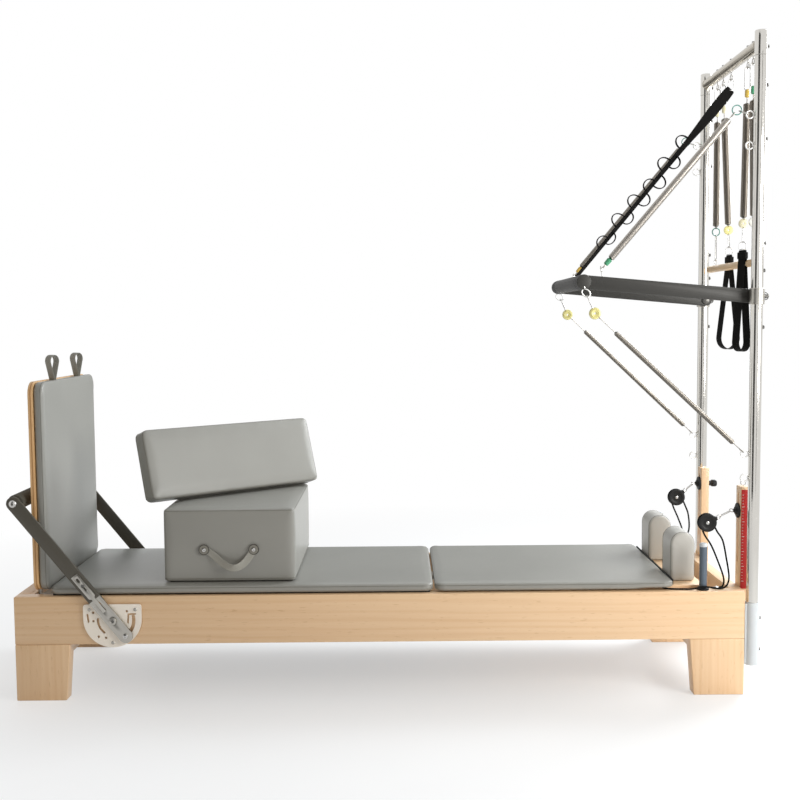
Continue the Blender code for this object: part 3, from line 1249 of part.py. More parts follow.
def main():
    clear_scene()
    make_rails_and_boards()
    make_leg_frame("foot_leg_frame", FOOT_FACE, 1)
    make_leg_frame("head_leg_frame", HEAD_FACE, -1)
    make_foot_bracket()
    make_gear_plates()
    make_tower()
    make_risers()
    for label, _ in SIDES:
        make_pulley(label)
    make_rope_pegs()
    make_ropes()
    make_carriage(joint_empty("carriage_axis", (along(1.84), 0, DECK_BOTTOM)))
    make_footbar(joint_empty("footbar_axis", (PIVOT[0], 0, PIVOT[1])))
    mat_lift = joint_empty("mat_axis", (along(0.744), 0, RAIL_TOP))
    make_mat_extension(mat_lift)
    box_lift = joint_empty("box_axis", (along(0.706), 0, MAT_TOP), mat_lift)
    make_sitting_box(box_lift)
    make_standing_platform(joint_empty("platform_axis", (along(0.70), 0, BOX_TOP), box_lift))
    make_jump_board(joint_empty("jump_board_axis", (PANEL_X[0], 0, JUMP_BOTTOM)))
    make_push_bar(joint_empty("push_bar_axis", (POST_X, 0, BAR_PIVOT_Z)))
    make_push_springs()
    make_safety_strap()
    roll_down = joint_empty("roll_down_axis", (POST_X, 0, SWING_Z))
    make_roll_down(roll_down)
    make_leg_strap("near", joint_empty("leg_near_axis", (POST_X, LEG_HANG["near"][0], SWING_Z), roll_down))
    make_leg_strap("far", joint_empty("leg_far_axis", (POST_X, LEG_HANG["far"][0], SWING_Z)))


main()
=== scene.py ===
# %% [markdown]
# A pilates reformer with a tower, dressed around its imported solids.
# The frame gives every piece its exact place, in metres, with the origin on the floor under the middle.
# X runs from the foot end to the head end, where the tower stands. The far side is +Y.

# %% Load the frame
import math

import bmesh
import bpy
from mathutils import Matrix, Vector
from mathutils.bvhtree import BVHTree
from mathutils.kdtree import KDTree


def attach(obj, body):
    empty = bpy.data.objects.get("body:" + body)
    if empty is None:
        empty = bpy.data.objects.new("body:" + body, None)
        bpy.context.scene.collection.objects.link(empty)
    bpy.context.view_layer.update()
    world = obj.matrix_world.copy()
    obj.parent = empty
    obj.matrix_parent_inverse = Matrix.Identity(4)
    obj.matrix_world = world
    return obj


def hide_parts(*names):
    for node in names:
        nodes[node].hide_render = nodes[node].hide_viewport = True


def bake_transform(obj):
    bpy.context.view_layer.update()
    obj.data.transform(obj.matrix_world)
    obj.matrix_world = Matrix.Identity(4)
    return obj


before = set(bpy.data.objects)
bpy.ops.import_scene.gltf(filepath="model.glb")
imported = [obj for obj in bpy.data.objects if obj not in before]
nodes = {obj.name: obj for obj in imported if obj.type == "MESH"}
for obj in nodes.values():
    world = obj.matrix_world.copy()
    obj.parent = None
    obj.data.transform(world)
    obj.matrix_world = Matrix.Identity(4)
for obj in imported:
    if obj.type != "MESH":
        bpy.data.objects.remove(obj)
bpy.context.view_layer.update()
scene = bpy.context.scene
print("solids loaded:", len(nodes))

# %% [markdown]
# The camera stands at the near side, a little above the bed, and looks straight across the machine.
# Its numbers come from fitting straight edges of the rails, boards and posts to their known sizes.

# %% The camera
FOOT = -1.2376
CAMERA_AT = Vector((1.2651 + FOOT, -3.710, 1.2347))
YAW, PITCH, ROLL = (math.radians(angle) for angle in (0.1192, 4.195, -0.4689))
FOCAL_PIXELS, PICTURE_PIXELS, SENSOR = 1053.37, 800.0, 36.0
ahead = Vector((math.sin(YAW) * math.cos(PITCH), math.cos(YAW) * math.cos(PITCH), -math.sin(PITCH)))
level = Vector((math.cos(YAW), -math.sin(YAW), 0))
above = level.cross(ahead)
side = level * math.cos(ROLL) + above * math.sin(ROLL)
up = above * math.cos(ROLL) - level * math.sin(ROLL)
bpy.ops.object.camera_add(location=CAMERA_AT)
camera = bpy.context.object
camera.name = "studio_camera"
camera.rotation_euler = Matrix((side, up, -ahead)).transposed().to_euler()
camera.data.sensor_width = SENSOR
camera.data.lens = FOCAL_PIXELS * SENSOR / PICTURE_PIXELS
scene.camera = camera
scene.view_settings.view_transform = "Standard"
print("camera lens:", round(camera.data.lens, 2), "mm")

# %% [markdown]
# Small helpers keep the shader cells short. One adds a node and wires its inputs by name,
# and two open and close a group with named inputs and outputs.


# %% Shader helpers
def put(tree, kind, inputs=None, **settings):
    """Add a node, set its properties, and link or set its inputs."""
    made = tree.nodes.new(kind)
    for key, value in settings.items():
        setattr(made, key, value)
    for key, value in (inputs or {}).items():
        if isinstance(value, bpy.types.NodeSocket):
            tree.links.new(value, made.inputs[key])
        else:
            made.inputs[key].default_value = value
    return made


def calc(tree, operation, first, second=0.0):
    return put(tree, "ShaderNodeMath", {0: first, 1: second}, operation=operation).outputs[0]


def clamp(tree, value, low=0.0):
    return put(tree, "ShaderNodeClamp", {0: value, 1: low}).outputs[0]


def blend_colour(tree, factor, first, second, way="MIX"):
    inputs = {0: factor, 6: first, 7: second}
    return put(tree, "ShaderNodeMix", inputs, data_type="RGBA", blend_type=way).outputs[2]


def spread(tree, value, low, high, start=0.0, end=1.0):
    return put(tree, "ShaderNodeMapRange", {0: value, 1: start, 2: end, 3: low, 4: high}).outputs[0]


def stretched(tree, vector, scale, turned_by=(0, 0, 0)):
    inputs = {"Vector": vector, "Scale": scale, "Rotation": turned_by}
    return put(tree, "ShaderNodeMapping", inputs).outputs[0]


def speckle(tree, vector, scale, detail=3.0, rough=0.55, twist=0.0):
    inputs = {"Vector": vector, "Scale": scale, "Detail": detail, "Roughness": rough, "Distortion": twist}
    return put(tree, "ShaderNodeTexNoise", inputs).outputs["Fac"]


def object_place(tree):
    return put(tree, "ShaderNodeTexCoord").outputs["Object"]


def seen_directly(tree):
    """One for a camera, mirror or glass ray, and nothing for light that is scattered."""
    rays = put(tree, "ShaderNodeLightPath").outputs
    mirrored = calc(tree, "ADD", rays["Is Glossy Ray"], rays["Is Transmission Ray"])
    return clamp(tree, calc(tree, "ADD", rays["Is Camera Ray"], mirrored))


COLOUR, VALUE, VECTOR = "NodeSocketColor", "NodeSocketFloat", "NodeSocketVector"


def open_group(name, **inputs):
    """A shader group that takes a vector and the named colours and values."""
    tree = bpy.data.node_groups.new(name, "ShaderNodeTree")
    tree.interface.new_socket(name="Vector", in_out="INPUT", socket_type=VECTOR)
    for label, value in inputs.items():
        kind = COLOUR if isinstance(value, tuple) else VALUE
        socket = tree.interface.new_socket(name=label, in_out="INPUT", socket_type=kind)
        socket.default_value = value
    return tree, tree.nodes.new("NodeGroupInput").outputs


def close_group(tree, **outputs):
    for label in outputs:
        kind = COLOUR if label == "Color" else VALUE
        tree.interface.new_socket(name=label, in_out="OUTPUT", socket_type=kind)
    result = tree.nodes.new("NodeGroupOutput").inputs
    for label, value in outputs.items():
        tree.links.new(value, result[label])


# %% [markdown]
# The real machine stands in a bright white room. Cool daylight falls from behind and above, the wall on
# the camera's side gives back less of it and warmer, and a window beyond the head end brightens that end.
# Tall dark cards that only reflections see stand beside it, as a studio uses them for polished tube.

# %% World, lamps and cards
WHITE = (1.0, 1.0, 1.0, 1.0)
WARM_WALL, COOL_SKY = (0.285, 0.222, 0.145, 1.0), (0.80, 0.88, 0.96, 1.0)
DAYLIGHT_WAY = (0.50, 0.80, 0.33)
world = bpy.data.worlds.new("white_room")
scene.world = world
world.use_nodes = True
air = world.node_tree
air.nodes.clear()
way = put(air, "ShaderNodeTexCoord").outputs["Generated"]
toward = put(air, "ShaderNodeVectorMath", {0: way, 1: DAYLIGHT_WAY}, operation="DOT_PRODUCT").outputs["Value"]
room = blend_colour(air, spread(air, toward, 0.0, 1.0, -0.7, 0.8), WARM_WALL, COOL_SKY)
sky = put(air, "ShaderNodeBackground", {"Color": room}).outputs[0]
backdrop = put(air, "ShaderNodeBackground", {"Color": WHITE}).outputs[0]
chosen = put(air, "ShaderNodeMixShader", {0: seen_directly(air), 1: sky, 2: backdrop}).outputs[0]
put(air, "ShaderNodeOutputWorld", {0: chosen})

LAMPS = (("window_lamp", (2.7, -2.0, 1.5), (0.8, 0.0, 0.4), 1.4, 62.0, (1.0, 0.985, 0.96)),
         ("ceiling_lamp", (2.7, 1.5, 2.3), (0.5, 0.0, 0.4), 1.6, 112.0, (0.94, 0.975, 1.0)))
for name, place, target, width, watts, colour in LAMPS:
    bpy.ops.object.light_add(type="AREA", location=place)
    lamp = bpy.context.object
    lamp.name = name
    lamp.data.size = width
    lamp.data.energy = watts
    lamp.data.color = colour
    lamp.rotation_euler = (Vector(target) - Vector(place)).to_track_quat("-Z", "Y").to_euler()

CARDS = (("tube_card", (-1.75, -3.0, 2.3), (2.5, 5.4), 133.0, 0.035),
         ("side_card", (2.3, -4.6, 1.6), (0.5, 3.6), 15.0, 0.12),
         ("far_card", (0.3, 6.0, 1.3), (3.0, 2.6), 180.0, 0.10))
for name, place, (width, height), heading, shade in CARDS:
    bpy.ops.mesh.primitive_plane_add(size=1.0, location=place)
    card = bpy.context.object
    card.name = name
    card.scale = (width, height, 1.0)
    card.rotation_euler = (math.pi / 2, 0.0, math.radians(heading))
    card.visible_camera = False
    card.visible_diffuse = False
    card.visible_shadow = False
    card_paint = bpy.data.materials.new(name)
    card_paint.use_nodes = True
    card_base = card_paint.node_tree.nodes["Principled BSDF"].inputs["Base Color"]
    card_base.default_value = (shade, shade * 0.92, shade * 0.80, 1)
    card.data.materials.append(card_paint)
bpy.ops.mesh.primitive_plane_add(size=60.0, location=(0, 0, -0.0004))
floor = bpy.context.object
floor.name = "pale_floor"
print("cards:", len(CARDS), "lamps:", len(LAMPS))

# %% [markdown]
# Maple is pale, with long soft streaks, a few wide arches of figure and short dark flecks.
# One group draws all three along its own X, so each board only has to turn the pattern to its grain.

# %% The maple grain group
grain, given = open_group("maple grain", Pale=(0.8, 0.6, 0.4, 1), Deep=(0.6, 0.4, 0.2, 1), Figure=0.35)


def drawn_out(scale):
    return stretched(grain, given["Vector"], scale)


streak = speckle(grain, drawn_out((1.3, 62, 62)), 1.0, 5.0, 0.62, 0.3)
wide = speckle(grain, drawn_out((0.7, 4.5, 4.5)), 1.0, 2.0)
ARCHES = {"Scale": 1.6, "Distortion": 9.0, "Detail": 3.0, "Detail Scale": 0.9}
arches = put(grain, "ShaderNodeTexWave", {"Vector": drawn_out((0.45, 7, 7)), **ARCHES},
             bands_direction="Z").outputs["Fac"]
fleck = spread(grain, speckle(grain, drawn_out((26, 240, 240)), 1.0, 2.0), 0.0, 1.0, 0.63, 0.72)
soft = calc(grain, "MULTIPLY", spread(grain, arches, 0.0, 1.0, 0.45, 1.0), given["Figure"])
tone = calc(grain, "SUBTRACT", spread(grain, streak, 0.34, 0.92, 0.25, 0.72), soft)
tone = calc(grain, "ADD", tone, spread(grain, wide, -0.16, 0.16, 0.3, 0.7))
shade = blend_colour(grain, clamp(grain, tone), given["Deep"], given["Pale"])
dark = blend_colour(grain, 1.0, shade, (0.72, 0.62, 0.52, 1), "MULTIPLY")
close_group(grain, Color=blend_colour(grain, calc(grain, "MULTIPLY", fleck, 0.50), shade, dark),
            Roughness=spread(grain, streak, 0.36, 0.50), Height=calc(grain, "SUBTRACT", streak, fleck))

# %% [markdown]
# Upholstery vinyl is pressed with a fine pebble, and its tone drifts a little over a large panel.
# Webbing is a plain weave of threads that cross at a right angle, drawn in the strap's own UV map.
# Drawn and brushed metal has hair-fine lines, and everything that is handled has faint marks.

# %% The vinyl, weave, brushing and handling groups
pebble, given = open_group("vinyl pebble", Grain=900.0)
cells = put(pebble, "ShaderNodeTexVoronoi", {"Vector": given["Vector"], "Scale": given["Grain"]},
            feature="SMOOTH_F1").outputs["Distance"]
drift = speckle(pebble, given["Vector"], 3.2, 3.0)
pores = speckle(pebble, given["Vector"], 420.0, 2.0)
close_group(pebble, Shade=spread(pebble, drift, 0.95, 1.05, 0.3, 0.7),
            Roughness=spread(pebble, pores, 0.34, 0.46, 0.3, 0.7),
            Height=calc(pebble, "ADD", calc(pebble, "MULTIPLY", cells, -0.6), pores))

weave, given = open_group("plain weave", Threads=900.0)
apart = put(weave, "ShaderNodeSeparateXYZ", {0: given["Vector"]}).outputs
often = calc(weave, "MULTIPLY", given["Threads"], math.pi)
warp, weft = (calc(weave, "SINE", calc(weave, "MULTIPLY", apart[axis], often)) for axis in "XY")
cross = calc(weave, "MULTIPLY", warp, weft)
fuzz = speckle(weave, given["Vector"], 260.0, 3.0)
close_group(weave, Shade=spread(weave, calc(weave, "ADD", cross, fuzz), 0.72, 1.18, -0.6, 1.5),
            Height=calc(weave, "ADD", calc(weave, "MULTIPLY", cross, 0.5), fuzz))

brushing, given = open_group("fine brushing", Lines=900.0)
hair = speckle(brushing, given["Vector"], given["Lines"], 4.0, 0.6)
close_group(brushing, Roughness=spread(brushing, hair, -0.07, 0.07, 0.3, 0.7), Height=hair)

MARK_STRENGTH = 0.12
handling, given = open_group("handling marks", Amount=0.5)
smear = spread(handling, speckle(handling, given["Vector"], 9.0, 4.0, 0.6), -0.5, 0.5)
specks = spread(handling, speckle(handling, given["Vector"], 150.0, 2.0), 0.0, 1.0, 0.62, 0.75)
marks = calc(handling, "MULTIPLY", calc(handling, "ADD", smear, specks), given["Amount"])
marks = calc(handling, "MULTIPLY", marks, MARK_STRENGTH)
close_group(handling, Shade=calc(handling, "ADD", 1.0, marks), Roughness=marks)
print("shader groups:", sorted(tree.name for tree in bpy.data.node_groups))

# %% [markdown]
# Each finish of the machine is one material. The plain numbers sit on the shader's own sockets,
# and only what changes over the surface comes in through links.


# %% Ways to start a finish
def linear(red, green, blue):
    """An 8-bit screen colour as the shader reads it."""
    return tuple(((part / 255 + 0.055) / 1.055) ** 2.4 if part > 10 else part / 255 / 12.92
                 for part in (red, green, blue)) + (1.0,)


def start_finish(name, colour, roughness, metallic=0.0, **sockets):
    made = bpy.data.materials.new(name)
    made.use_nodes = True
    made.diffuse_color = colour
    shader = made.node_tree.nodes["Principled BSDF"]
    plain = {"Base Color": colour, "Roughness": roughness, "Metallic": metallic, **sockets}
    for key, value in plain.items():
        shader.inputs[key.replace("_", " ")].default_value = value
    return made, made.node_tree, shader


def finish_with(tree, shader, height, depth, **links):
    """Link what changes over the surface, and raise the surface by a height."""
    for key, value in links.items():
        tree.links.new(value, shader.inputs[key.replace("_", " ")])
    bump = put(tree, "ShaderNodeBump", {"Height": height, "Distance": depth, "Strength": 1.0})
    tree.links.new(bump.outputs[0], shader.inputs["Normal"])


def use_group(tree, group, vector, **inputs):
    return put(tree, "ShaderNodeGroup", {"Vector": vector, **inputs}, node_tree=group).outputs


def tinted(tree, colour, shade):
    """The finish's own colour, made lighter and darker by a value near 1."""
    grey = put(tree, "ShaderNodeCombineColor", {0: shade, 1: shade, 2: shade}).outputs[0]
    return blend_colour(tree, 1.0, colour, grey, "MULTIPLY")


def worn(name, colour, roughness, metallic, amount, **sockets):
    """A moulded or painted finish with faint handling marks."""
    made, tree, shader = start_finish(name, colour, roughness, metallic, **sockets)
    place = object_place(tree)
    marks = use_group(tree, handling, place, Amount=amount)
    orange_peel = speckle(tree, place, 700.0, 2.0)
    finish_with(tree, shader, orange_peel, 0.00006, Base_Color=tinted(tree, colour, marks["Shade"]),
                Roughness=calc(tree, "ADD", marks["Roughness"], roughness))
    return made


def maple(name, turned_by, pale, deep, figure=0.3):
    made, tree, shader = start_finish(name, pale, 0.42, Coat_Weight=0.22, Coat_Roughness=0.22)
    place = stretched(tree, object_place(tree), (1, 1, 1), turned_by)
    look = use_group(tree, grain, place, Pale=pale, Deep=deep, Figure=figure)
    finish_with(tree, shader, look["Height"], 0.00010, Base_Color=look["Color"], Roughness=look["Roughness"])
    return made


def woven(name, colour, threads, roughness=0.85):
    made, tree, shader = start_finish(name, colour, roughness, Sheen_Weight=0.04, Specular_IOR_Level=0.12)
    look = use_group(tree, weave, put(tree, "ShaderNodeUVMap").outputs[0], Threads=threads)
    finish_with(tree, shader, look["Height"], 0.0003, Base_Color=tinted(tree, colour, look["Shade"]))
    return made


def metal(name, colour, roughness, lines_scale=(1, 1, 1), lines=900.0):
    """Steel with hair-fine lines, drawn out by the scale along each axis."""
    made, tree, shader = start_finish(name, colour, roughness, 1.0)
    place = object_place(tree)
    look = use_group(tree, brushing, stretched(tree, place, lines_scale), Lines=lines)
    marks = use_group(tree, handling, place, Amount=0.5)
    rough = calc(tree, "ADD", calc(tree, "ADD", look["Roughness"], marks["Roughness"]), roughness)
    finish_with(tree, shader, look["Height"], 0.00002, Base_Color=tinted(tree, colour, marks["Shade"]),
                Roughness=clamp(tree, rough, 0.05))
    return made


def covering(name, colour, **sockets):
    """Vinyl with its pebble pressed in."""
    made, tree, shader = start_finish(name, colour, 0.40, **sockets)
    look = use_group(tree, pebble, object_place(tree), Grain=950.0)
    finish_with(tree, shader, look["Height"], 0.00016, Base_Color=tinted(tree, colour, look["Shade"]),
                Roughness=look["Roughness"])
    return made


# %% The finishes
PALE_MAPLE, DEEP_MAPLE = linear(233, 201, 163), linear(221, 182, 139)
QUARTER = math.pi / 2
maple_along = maple("maple along the machine", (0, 0, 0), PALE_MAPLE, DEEP_MAPLE)
maple_across = maple("maple across the machine", (0, 0, QUARTER), PALE_MAPLE, DEEP_MAPLE)
maple_upright = maple("upright maple", (0, QUARTER, 0), PALE_MAPLE, DEEP_MAPLE, 0.2)
dowel_wood = maple("dowel wood", (0, 0, QUARTER), linear(228, 196, 152), linear(205, 166, 118), 0.15)
polished = metal("polished tube", (0.66, 0.64, 0.60, 1), 0.09, (1, 1, 0.02))
# The cross tube is the posts' polished steel made darker and browner: painted reflection of the room.
cross_tube_painted_reflection = metal("polished cross tube darkened as painted reflection", (0.47, 0.43, 0.36, 1), 0.20, (1, 0.02, 1))
brushed = metal("brushed steel", (0.46, 0.44, 0.40, 1), 0.34, (0.05, 1, 0.05))
spring_wire = metal("spring wire", (0.34, 0.315, 0.28, 1), 0.40, lines=1400.0)
hung_wire = metal("hung spring wire", (0.27, 0.24, 0.205, 1), 0.38, lines=1400.0)
pale_wire = metal("pale spring wire", (0.52, 0.49, 0.45, 1), 0.38, lines=1400.0)
bright_wire = metal("bright wire", (0.52, 0.51, 0.49, 1), 0.22, lines=1400.0)
white_steel = worn("bright zinc", (0.78, 0.78, 0.76, 1), 0.30, 0.6, 0.3)
bolt_steel = metal("dark bolt steel", (0.16, 0.155, 0.145, 1), 0.38)
olive_paint = worn("olive powder coat", linear(84, 80, 71), 0.46, 0.15, 0.6)
bar_paint = worn("dark grey powder coat", linear(54, 53, 50), 0.52, 0.1, 0.6)
socket_paint = worn("pale grey powder coat", linear(200, 205, 208), 0.42, 0.05, 0.5)
plate_paint = worn("cream powder coat", linear(246, 238, 226), 0.44, 0.05, 0.4)
peg_paint = worn("steel blue paint", linear(88, 100, 112), 0.42, 0.2, 0.5)
black_plastic = worn("black plastic", linear(17, 17, 17), 0.46, 0.0, 0.6, Specular_IOR_Level=0.3)
tyre_rubber = worn("tyre rubber", linear(46, 46, 47), 0.62, 0.0, 0.6)
foam_rubber = worn("foam grip", linear(82, 79, 70), 0.80, 0.0, 0.9)
amber_plastic = worn("amber plastic", linear(222, 188, 92), 0.35, 0.0, 0.4)
cream_plastic = worn("cream plastic", linear(236, 230, 196), 0.35, 0.0, 0.3)
yellow_plastic = worn("pale yellow plastic", linear(230, 222, 148), 0.35, 0.0, 0.4)
teal_plastic = worn("teal plastic", linear(96, 150, 140), 0.40, 0.0, 0.4)
green_plastic = worn("green plastic", linear(76, 160, 118), 0.38, 0.0, 0.4)
red_plastic = worn("red scale", linear(176, 30, 28), 0.40, 0.0, 0.6)
white_plastic = worn("white plastic", linear(222, 222, 216), 0.40, 0.0, 0.4)
tab_paint = worn("handle tab", linear(128, 125, 116), 0.6, 0.0, 0.5)
tab_edge_paint = worn("handle tab edge", linear(62, 60, 54), 0.6, 0.0, 0.5)
seam_thread = worn("seam thread", linear(112, 110, 102), 0.7, 0.0, 0.5)
black_webbing = woven("black webbing", linear(19, 18, 17), 620.0)
grey_webbing = woven("grey strap", linear(158, 156, 148), 420.0, 0.6)
rope_braid = woven("rope braid", linear(17, 17, 17), 520.0)
vinyl = covering("grey vinyl", linear(143, 142, 136), Coat_Weight=0.15, Coat_Roughness=0.30)
# The shoulder rests use the same vinyl as the other pads, made lighter as painted light.
vinyl_painted_lighter = covering("vinyl lightened as painted light", linear(189, 187, 181))

# %% [markdown]
# The floor keeps the shadow near the machine, and fades to the white of the room farther out.

# %% The floor's finish
floor_paint, tree, shader = start_finish("pale floor", (0.86, 0.86, 0.86, 1), 0.6)
floor_shade = spread(tree, speckle(tree, object_place(tree), 0.8, 2.0), 0.99, 1.01)
tree.links.new(tinted(tree, (0.87, 0.87, 0.87, 1), floor_shade), shader.inputs["Base Color"])
distance = put(tree, "ShaderNodeVectorMath", {0: object_place(tree)}, operation="LENGTH").outputs["Value"]
fade = calc(tree, "MULTIPLY", spread(tree, distance, 0.45, 1.0, 0.8, 3.4), seen_directly(tree))
glow = put(tree, "ShaderNodeEmission", {"Color": WHITE, "Strength": 1.0}).outputs[0]
both = put(tree, "ShaderNodeMixShader", {0: fade, 1: shader.outputs[0], 2: glow}).outputs[0]
tree.links.new(both, tree.nodes["Material Output"].inputs["Surface"])
floor.data.materials.append(floor_paint)
print("finishes:", len(bpy.data.materials))

# %% [markdown]
# Plywood shows its layers at a cut edge: two tan plies either side of a darker middle line.
# The board's faces are maple, and the layers are read from the board's own depth along X.

# %% The plywood finish
PLY_START, PLY_THICK = FOOT + 0.0620, 0.0162
plywood, tree, shader = start_finish("jump board plywood", PALE_MAPLE, 0.45)
place = object_place(tree)
look = use_group(tree, grain, stretched(tree, place, (1, 1, 1), (0, QUARTER, 0)),
                 Pale=linear(226, 186, 136), Deep=linear(205, 160, 106), Figure=0.4)
depth = put(tree, "ShaderNodeSeparateXYZ", {0: place}).outputs["X"]
share = spread(tree, depth, 0.0, 1.0, PLY_START, PLY_START + PLY_THICK)
off_middle = calc(tree, "ABSOLUTE", calc(tree, "SUBTRACT", share, 0.55))
layered = blend_colour(tree, spread(tree, off_middle, 1.0, 0.0, 0.05, 0.16), look["Color"],
                       linear(168, 118, 70))
finish_with(tree, shader, look["Height"], 0.00012, Base_Color=layered, Roughness=look["Roughness"])
print("plywood ready")

# %% [markdown]
# Every piece starts from one of Blender's own primitives and is shaped in edit mode.
# These helpers hold the steps that come back all the time: a board with eased edges, a form turned on
# a lathe, a plate cut to an outline, a bent wire, a strap and a coil.


# %% Selecting and finishing
def clear_selection():
    if bpy.context.object and bpy.context.object.mode != "OBJECT":
        bpy.ops.object.mode_set(mode="OBJECT")
    bpy.ops.object.select_all(action="DESELECT")


def take(*pieces):
    """Select only these pieces, with the first one active."""
    clear_selection()
    for piece in pieces:
        piece.select_set(True)
    bpy.context.view_layer.objects.active = pieces[0]


def fix_place(piece):
    """Put the place, turn and size into the mesh, so that the object sits at the origin."""
    take(piece)
    bpy.ops.object.transform_apply(location=True, rotation=True, scale=True)
    return piece


def pick(piece, test):
    """In edit mode, select the edges that pass a test."""
    bpy.ops.mesh.select_mode(type="EDGE")
    bpy.ops.mesh.select_all(action="DESELECT")
    shape = bmesh.from_edit_mesh(piece.data)
    for edge in shape.edges:
        if test(edge):
            edge.select_set(True)
    shape.select_flush_mode()
    bmesh.update_edit_mesh(piece.data)


def apply_modifier(piece, kind, **settings):
    take(piece)
    made = piece.modifiers.new(kind.lower(), kind)
    for key, value in settings.items():
        setattr(made, key, value)
    bpy.ops.object.modifier_apply(modifier=made.name)


def ease_edges(piece, width, segments=2, angle=32):
    apply_modifier(piece, "BEVEL", width=width, segments=segments, limit_method="ANGLE",
                   angle_limit=math.radians(angle), harden_normals=False)
    return piece


def join(pieces):
    """Join pieces into the first, each keeping its own finish."""
    take(*pieces)
    bpy.ops.object.join()
    return bpy.context.object


def cut(piece, tools):
    """Cut tools out of a piece and remove them."""
    for tool in tools:
        apply_modifier(piece, "BOOLEAN", operation="DIFFERENCE", solver="EXACT", object=tool)
        bpy.data.objects.remove(tool)


def dress(piece, finish):
    piece.data.materials.clear()
    piece.data.materials.append(finish)
    return piece


def hand_over(parts, name, body, replaced=(), smooth=35):
    """Join, name and shade a piece, and tell the frame what it rides on and what it stands for."""
    piece = join(parts) if isinstance(parts, list) else parts
    piece.name = name
    piece.data.name = name
    take(piece)
    bpy.ops.object.shade_smooth_by_angle(angle=math.radians(smooth))
    if body:
        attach(piece, body)
    if replaced:
        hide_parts(*replaced)
    clear_selection()
    return piece


# %% Shaping helpers
def cube(middle, size):
    clear_selection()
    bpy.ops.mesh.primitive_cube_add(size=1.0, location=middle)
    piece = bpy.context.object
    piece.scale = size
    fix_place(piece)
    bpy.ops.object.mode_set(mode="EDIT")
    return piece


def board(first, second, ease, finish, segments=3):
    """A sawn board between two opposite corners, with its edges eased."""
    low, high = (Vector([choose(pair) for pair in zip(first, second)]) for choose in (min, max))
    piece = cube((low + high) / 2, high - low)
    bpy.ops.mesh.select_all(action="SELECT")
    bpy.ops.mesh.bevel(offset=ease, segments=segments, affect="EDGES")
    bpy.ops.object.mode_set(mode="OBJECT")
    return dress(piece, finish)


def leave_edit():
    """Turn every face outward and go back to object mode."""
    bpy.ops.mesh.select_all(action="SELECT")
    bpy.ops.mesh.normals_make_consistent(inside=False)
    bpy.ops.object.mode_set(mode="OBJECT")


def aimed(piece, axis, place):
    """Turn a form's own Z along an axis and move it to its place."""
    piece.rotation_euler = Vector(axis).to_track_quat("Z", "Y").to_euler()
    piece.location = place
    return fix_place(piece)


def draw_line(points):
    """A vertex drawn out step by step into an open line."""
    clear_selection()
    bpy.ops.mesh.primitive_plane_add(size=0.01, location=(0, 0, 0))
    piece = bpy.context.object
    bpy.ops.object.mode_set(mode="EDIT")
    bpy.ops.mesh.select_mode(type="VERT")
    bpy.ops.mesh.select_all(action="SELECT")
    bpy.ops.mesh.merge(type="CENTER")
    bpy.ops.transform.translate(value=points[0])
    for before, after in zip(points, points[1:]):
        step = Vector(after) - Vector(before)
        bpy.ops.mesh.extrude_region_move(TRANSFORM_OT_translate={"value": step})
    bpy.ops.mesh.select_all(action="SELECT")
    return piece


WELD_WITHIN = 0.000002


def lathe(profile, place, axis, finish, steps=40):
    """A form turned from (radius, distance) pairs about an axis through a place."""
    piece = draw_line([(radius, 0.0, distance) for radius, distance in profile])
    bpy.ops.mesh.spin(steps=steps, angle=math.tau, center=(0, 0, 0), axis=(0, 0, 1))
    bpy.ops.mesh.select_all(action="SELECT")
    bpy.ops.mesh.remove_doubles(threshold=WELD_WITHIN)
    leave_edit()
    return dress(aimed(piece, axis, place), finish)


def bored(profile, *how):
    """A turned form with a bore: its profile closes on itself."""
    return lathe(profile + profile[:1], *how)


def solid(profile, *how):
    """A turned form whose profile starts and ends on the axis."""
    return lathe([(0.0, profile[0][1])] + profile + [(0.0, profile[-1][1])], *how)


def rod(radius, start, end, *how):
    return solid([(radius, start), (radius, end)], *how)


def slab(outline, depth, finish, ease=0.0, segments=2):
    """A plate: an outline filled with one face and drawn out by a depth."""
    piece = draw_line(outline)
    bpy.ops.mesh.edge_face_add()
    bpy.ops.mesh.extrude_region_move(TRANSFORM_OT_translate={"value": depth})
    leave_edit()
    if ease:
        ease_edges(piece, ease, segments)
    return dress(piece, finish)


def wire(path, radius, finish, closed=False, sides=3):
    """A round wire along a path, made a mesh with its own UV map."""
    clear_selection()
    bpy.ops.curve.primitive_nurbs_path_add()
    piece = bpy.context.object
    line = piece.data
    line.splines.clear()
    spline = line.splines.new("POLY")
    spline.points.add(len(path) - 1)
    for slot, point in zip(spline.points, path):
        slot.co = (*point, 1.0)
    spline.use_cyclic_u = closed
    line.dimensions = "3D"
    line.bevel_depth = radius
    line.bevel_resolution = sides
    line.use_fill_caps = True
    dress(piece, finish)
    bpy.ops.object.convert(target="MESH")
    return bpy.context.object


def runs(path):
    """The distance along a path at each of its points."""
    lengths = [0.0]
    for a, b in zip(path, path[1:]):
        lengths.append(lengths[-1] + (b - a).length)
    return lengths


def smooth_path(knots, spacing, fine_steps=16):
    """An even run of points on a smooth curve through the knots."""
    points = [Vector(knot) for knot in knots]
    ends = [2 * points[0] - points[1]] + points + [2 * points[-1] - points[-2]]
    fine = []
    for p0, p1, p2, p3 in zip(ends, ends[1:], ends[2:], ends[3:]):
        for step in range(fine_steps):
            t = step / fine_steps
            fine.append(0.5 * (2 * p1 + (p2 - p0) * t + (2 * p0 - 5 * p1 + 4 * p2 - p3) * t * t
                               + (3 * p1 - p0 - 3 * p2 + p3) * t * t * t))
    fine.append(points[-1])
    lengths = runs(fine)
    count = max(2, round(lengths[-1] / spacing))
    even = []
    place = 0
    for index in range(count + 1):
        target = lengths[-1] * index / count
        while place < len(fine) - 2 and lengths[place + 1] < target:
            place += 1
        span = lengths[place + 1] - lengths[place]
        part = (target - lengths[place]) / span if span else 0.0
        even.append(fine[place].lerp(fine[place + 1], min(1.0, part)))
    return even, lengths[-1]


